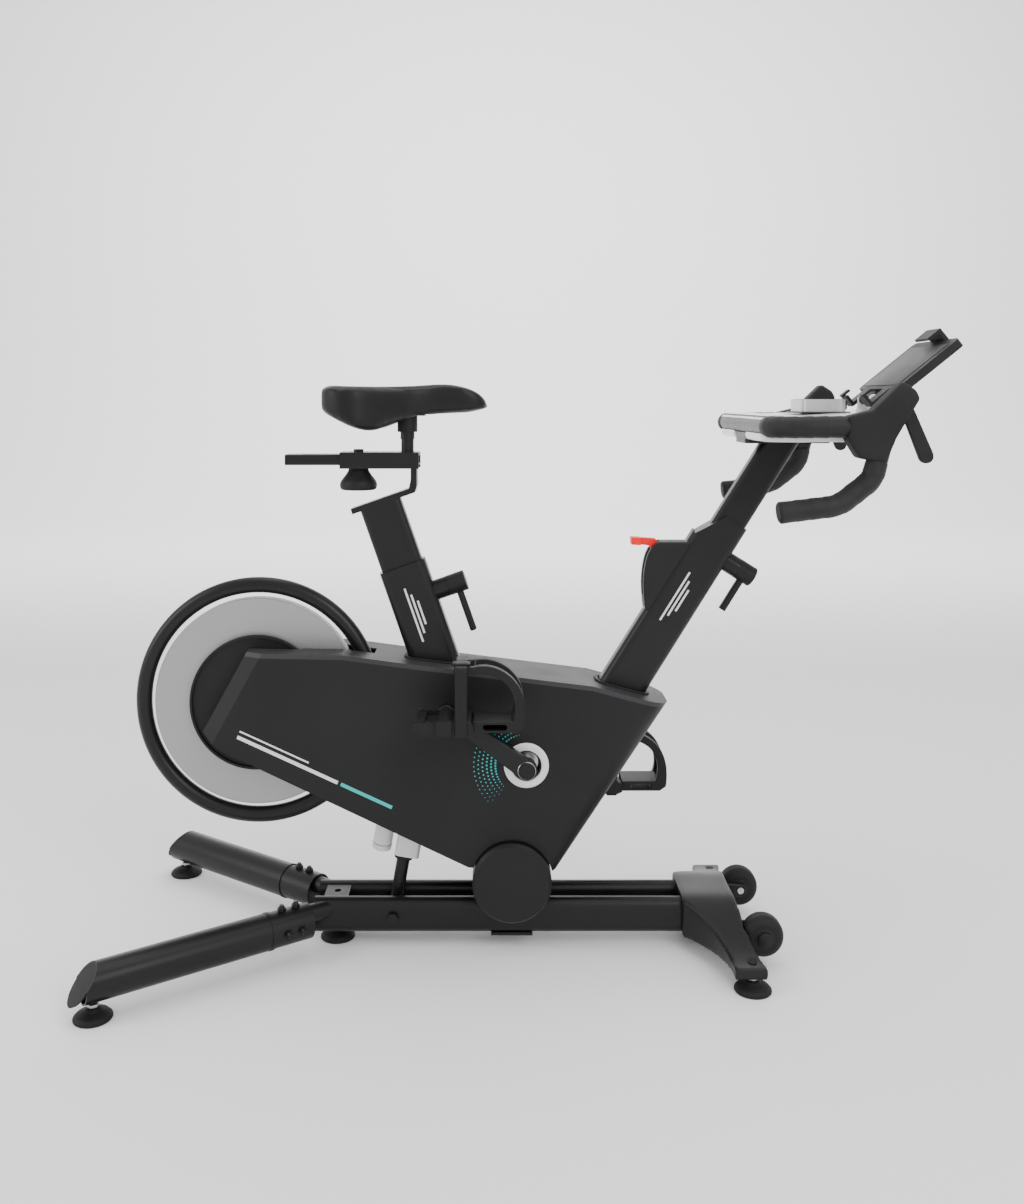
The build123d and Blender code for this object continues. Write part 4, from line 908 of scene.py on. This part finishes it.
def makeWheelHubs():
    for name, side in (("left", 1), ("right", -1)):
        node = "transport_wheel_" + name
        centre = middle(node)
        for face in (1, -1):
            hub = turned([(0.0075, -0.001), (0.017, -0.001), (0.017, 0.0002),
                          (0.0155, 0.0008), (0.0075, 0.0008)],
                         (centre.x, outerFace(node, face), centre.z), (0, face, 0), 48)
            place = "out" if face == side else "in"
            dress(hub, f"wheel_hub_{name}_{place}", "shroud_black", node)
        end = outerFace("wheel_axles", side)
        r = base["axleCapRadius"]
        cap = turned([(r - 0.001, -0.005), (r, -0.005), (r, 0.0002),
                      (r - 0.0025, 0.0014), (0.0001, 0.0018)],
                     (centre.x, end, centre.z), (0, side, 0), 48)
        dress(cap, f"axle_cap_{name}", "shroud_black", "base")
    print("wheel hubs made")


actuator = {
    "foot": (-0.251, 0, 0.056),      # lower eye of the actuator
    "bandsAt": (0.106, 0.150, 0.182),
    "motorBehind": 0.042,
    "wiperAt": 0.0885,
}


def makeMotorBands():
    axis = jointAxis("rod_slide") * -1
    foot = Vector(actuator["foot"])
    ahead = Vector((axis.z, 0, -axis.x))
    bands = []
    for up in actuator["bandsAt"]:
        bands.append(turned([(0.0171, 0), (0.0178, 0.0006), (0.0178, 0.0024), (0.0171, 0.003)],
                            foot + axis * up - ahead * actuator["motorBehind"], axis))
    dress(joined(bands), "motor_bands", "steel", "actuator")
    boot = turned([(0.0119, 0), (0.0165, 0), (0.0172, 0.002), (0.0172, 0.005),
                   (0.0160, 0.007), (0.0119, 0.007)],
                  foot + axis * actuator["wiperAt"], axis)
    dress(boot, "rod_wiper", "rubber", "actuator")
    print("actuator bands made")


makeFootNuts()
makeWheelHubs()
makeMotorBands()


# ---- rounded castings and moulded pieces

moulded = {
    # node: name, finish, body, voxel, rounds of smoothing
    "front_stabiliser": ("stabiliser_casting", "frame_black", "base", 0.003, 6),
    "seat_knob": ("knob_body", "shroud_black", "seat_knob", 0.0018, 4),
    "resistance_lever": ("red_lever", "lever_red", "resistance_lever", 0.0012, 5),
    "brake_cover": ("brake_housing", "shroud_black", "bike", 0.0016, 3),
    "toe_cage_left": ("toe_clip_left", "shroud_black", "pedal_left", 0.0012, 3),
    "paddle_left": ("shift_paddle_left", "shroud_black", "paddle_left", 0.0015, 4),
    "toe_cage_right": ("toe_clip_right", "shroud_black", "pedal_right", 0.0012, 3),
    "paddle_right": ("shift_paddle_right", "shroud_black", "paddle_right", 0.0015, 4),
}


def makeMoulded():
    for node, (name, finish, body, voxel, smoothing) in moulded.items():
        piece = dress(softCopy(node, voxel, smoothing), name, finish, body, 50)
        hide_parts(node)
    print("moulded pieces made")


makeMoulded()


# ---- studio

studio = {
    "floorSize": 14.0,
    "wallHeight": 8,
    "coveWidth": 2.5,
    "sky": 1.15,
    "cameraX": -0.0715,
    "cameraY": -2.052,
    "cameraZ": 0.970,
    "lens": 34.1,
    "shiftX": 0.0141,
    "shiftY": -0.170,
}


def makeStudio():
    clearSelection()
    bpy.ops.mesh.primitive_plane_add(size=studio["floorSize"], location=(0, 2.0, 0))
    floor = bpy.context.object
    floor.name = "floor"
    bpy.ops.object.mode_set(mode="EDIT")
    bpy.ops.mesh.select_mode(type="EDGE")
    bpy.ops.mesh.select_all(action="DESELECT")
    bpy.ops.object.mode_set(mode="OBJECT")
    far = max(vertex.co.y for vertex in floor.data.vertices)
    for edge in floor.data.edges:
        edge.select = all(abs(floor.data.vertices[i].co.y - far) < 0.01 for i in edge.vertices)
    bpy.ops.object.mode_set(mode="EDIT")
    bpy.ops.mesh.extrude_region_move(TRANSFORM_OT_translate={"value": (0, 0, studio["wallHeight"])})
    bpy.ops.object.mode_set(mode="OBJECT")
    curve = floor.modifiers.new("cove", "BEVEL")
    curve.width = studio["coveWidth"]
    curve.segments = 16
    applyAll(floor)
    bpy.ops.object.shade_smooth()
    paper = newFinish("paper", (0.9, 0.9, 0.9), 0.9, 0.0, 0.1)
    addGrain(paper, 60.0, 0.0002, 0.85, 0.95)
    floor.data.materials.append(paper)

    world = bpy.data.worlds.new("studio")
    world.use_nodes = True
    world.node_tree.nodes["Background"].inputs["Color"].default_value = (1, 1, 1, 1)
    world.node_tree.nodes["Background"].inputs["Strength"].default_value = studio["sky"]
    bpy.context.scene.world = world

    def lamp(name, place, target, size, power):
        light = bpy.data.lights.new(name, "AREA")
        light.shape = "RECTANGLE"
        light.size = size[0]
        light.size_y = size[1]
        light.energy = power
        holder = bpy.data.objects.new(name, light)
        bpy.context.scene.collection.objects.link(holder)
        holder.location = place
        holder.rotation_euler = (Vector(target) - Vector(place)).to_track_quat("-Z", "Y").to_euler()

    lamp("top", (0.2, 0.3, 3.6), (0, 0, 0.5), (3.2, 2.4), 45)
    lamp("front", (1.8, -3.0, 2.6), (0, 0, 0.6), (1.6, 2.0), 60)
    lamp("left", (-3.2, -1.0, 1.8), (-0.2, 0, 0.5), (1.2, 2.2), 40)
    lamp("backdrop", (0, 4.0, 4.0), (0, 9.0, 1.5), (8.0, 2.0), 500)

    camera = bpy.data.cameras.new("camera")
    holder = bpy.data.objects.new("camera", camera)
    bpy.context.scene.collection.objects.link(holder)
    holder.location = (studio["cameraX"], studio["cameraY"], studio["cameraZ"])
    holder.rotation_euler = (math.pi / 2, 0, 0)
    camera.lens = studio["lens"]
    camera.sensor_width = 36
    camera.sensor_fit = "AUTO"
    camera.shift_x = studio["shiftX"]
    camera.shift_y = studio["shiftY"]
    bpy.context.scene.camera = holder
    print("studio made")


makeStudio()
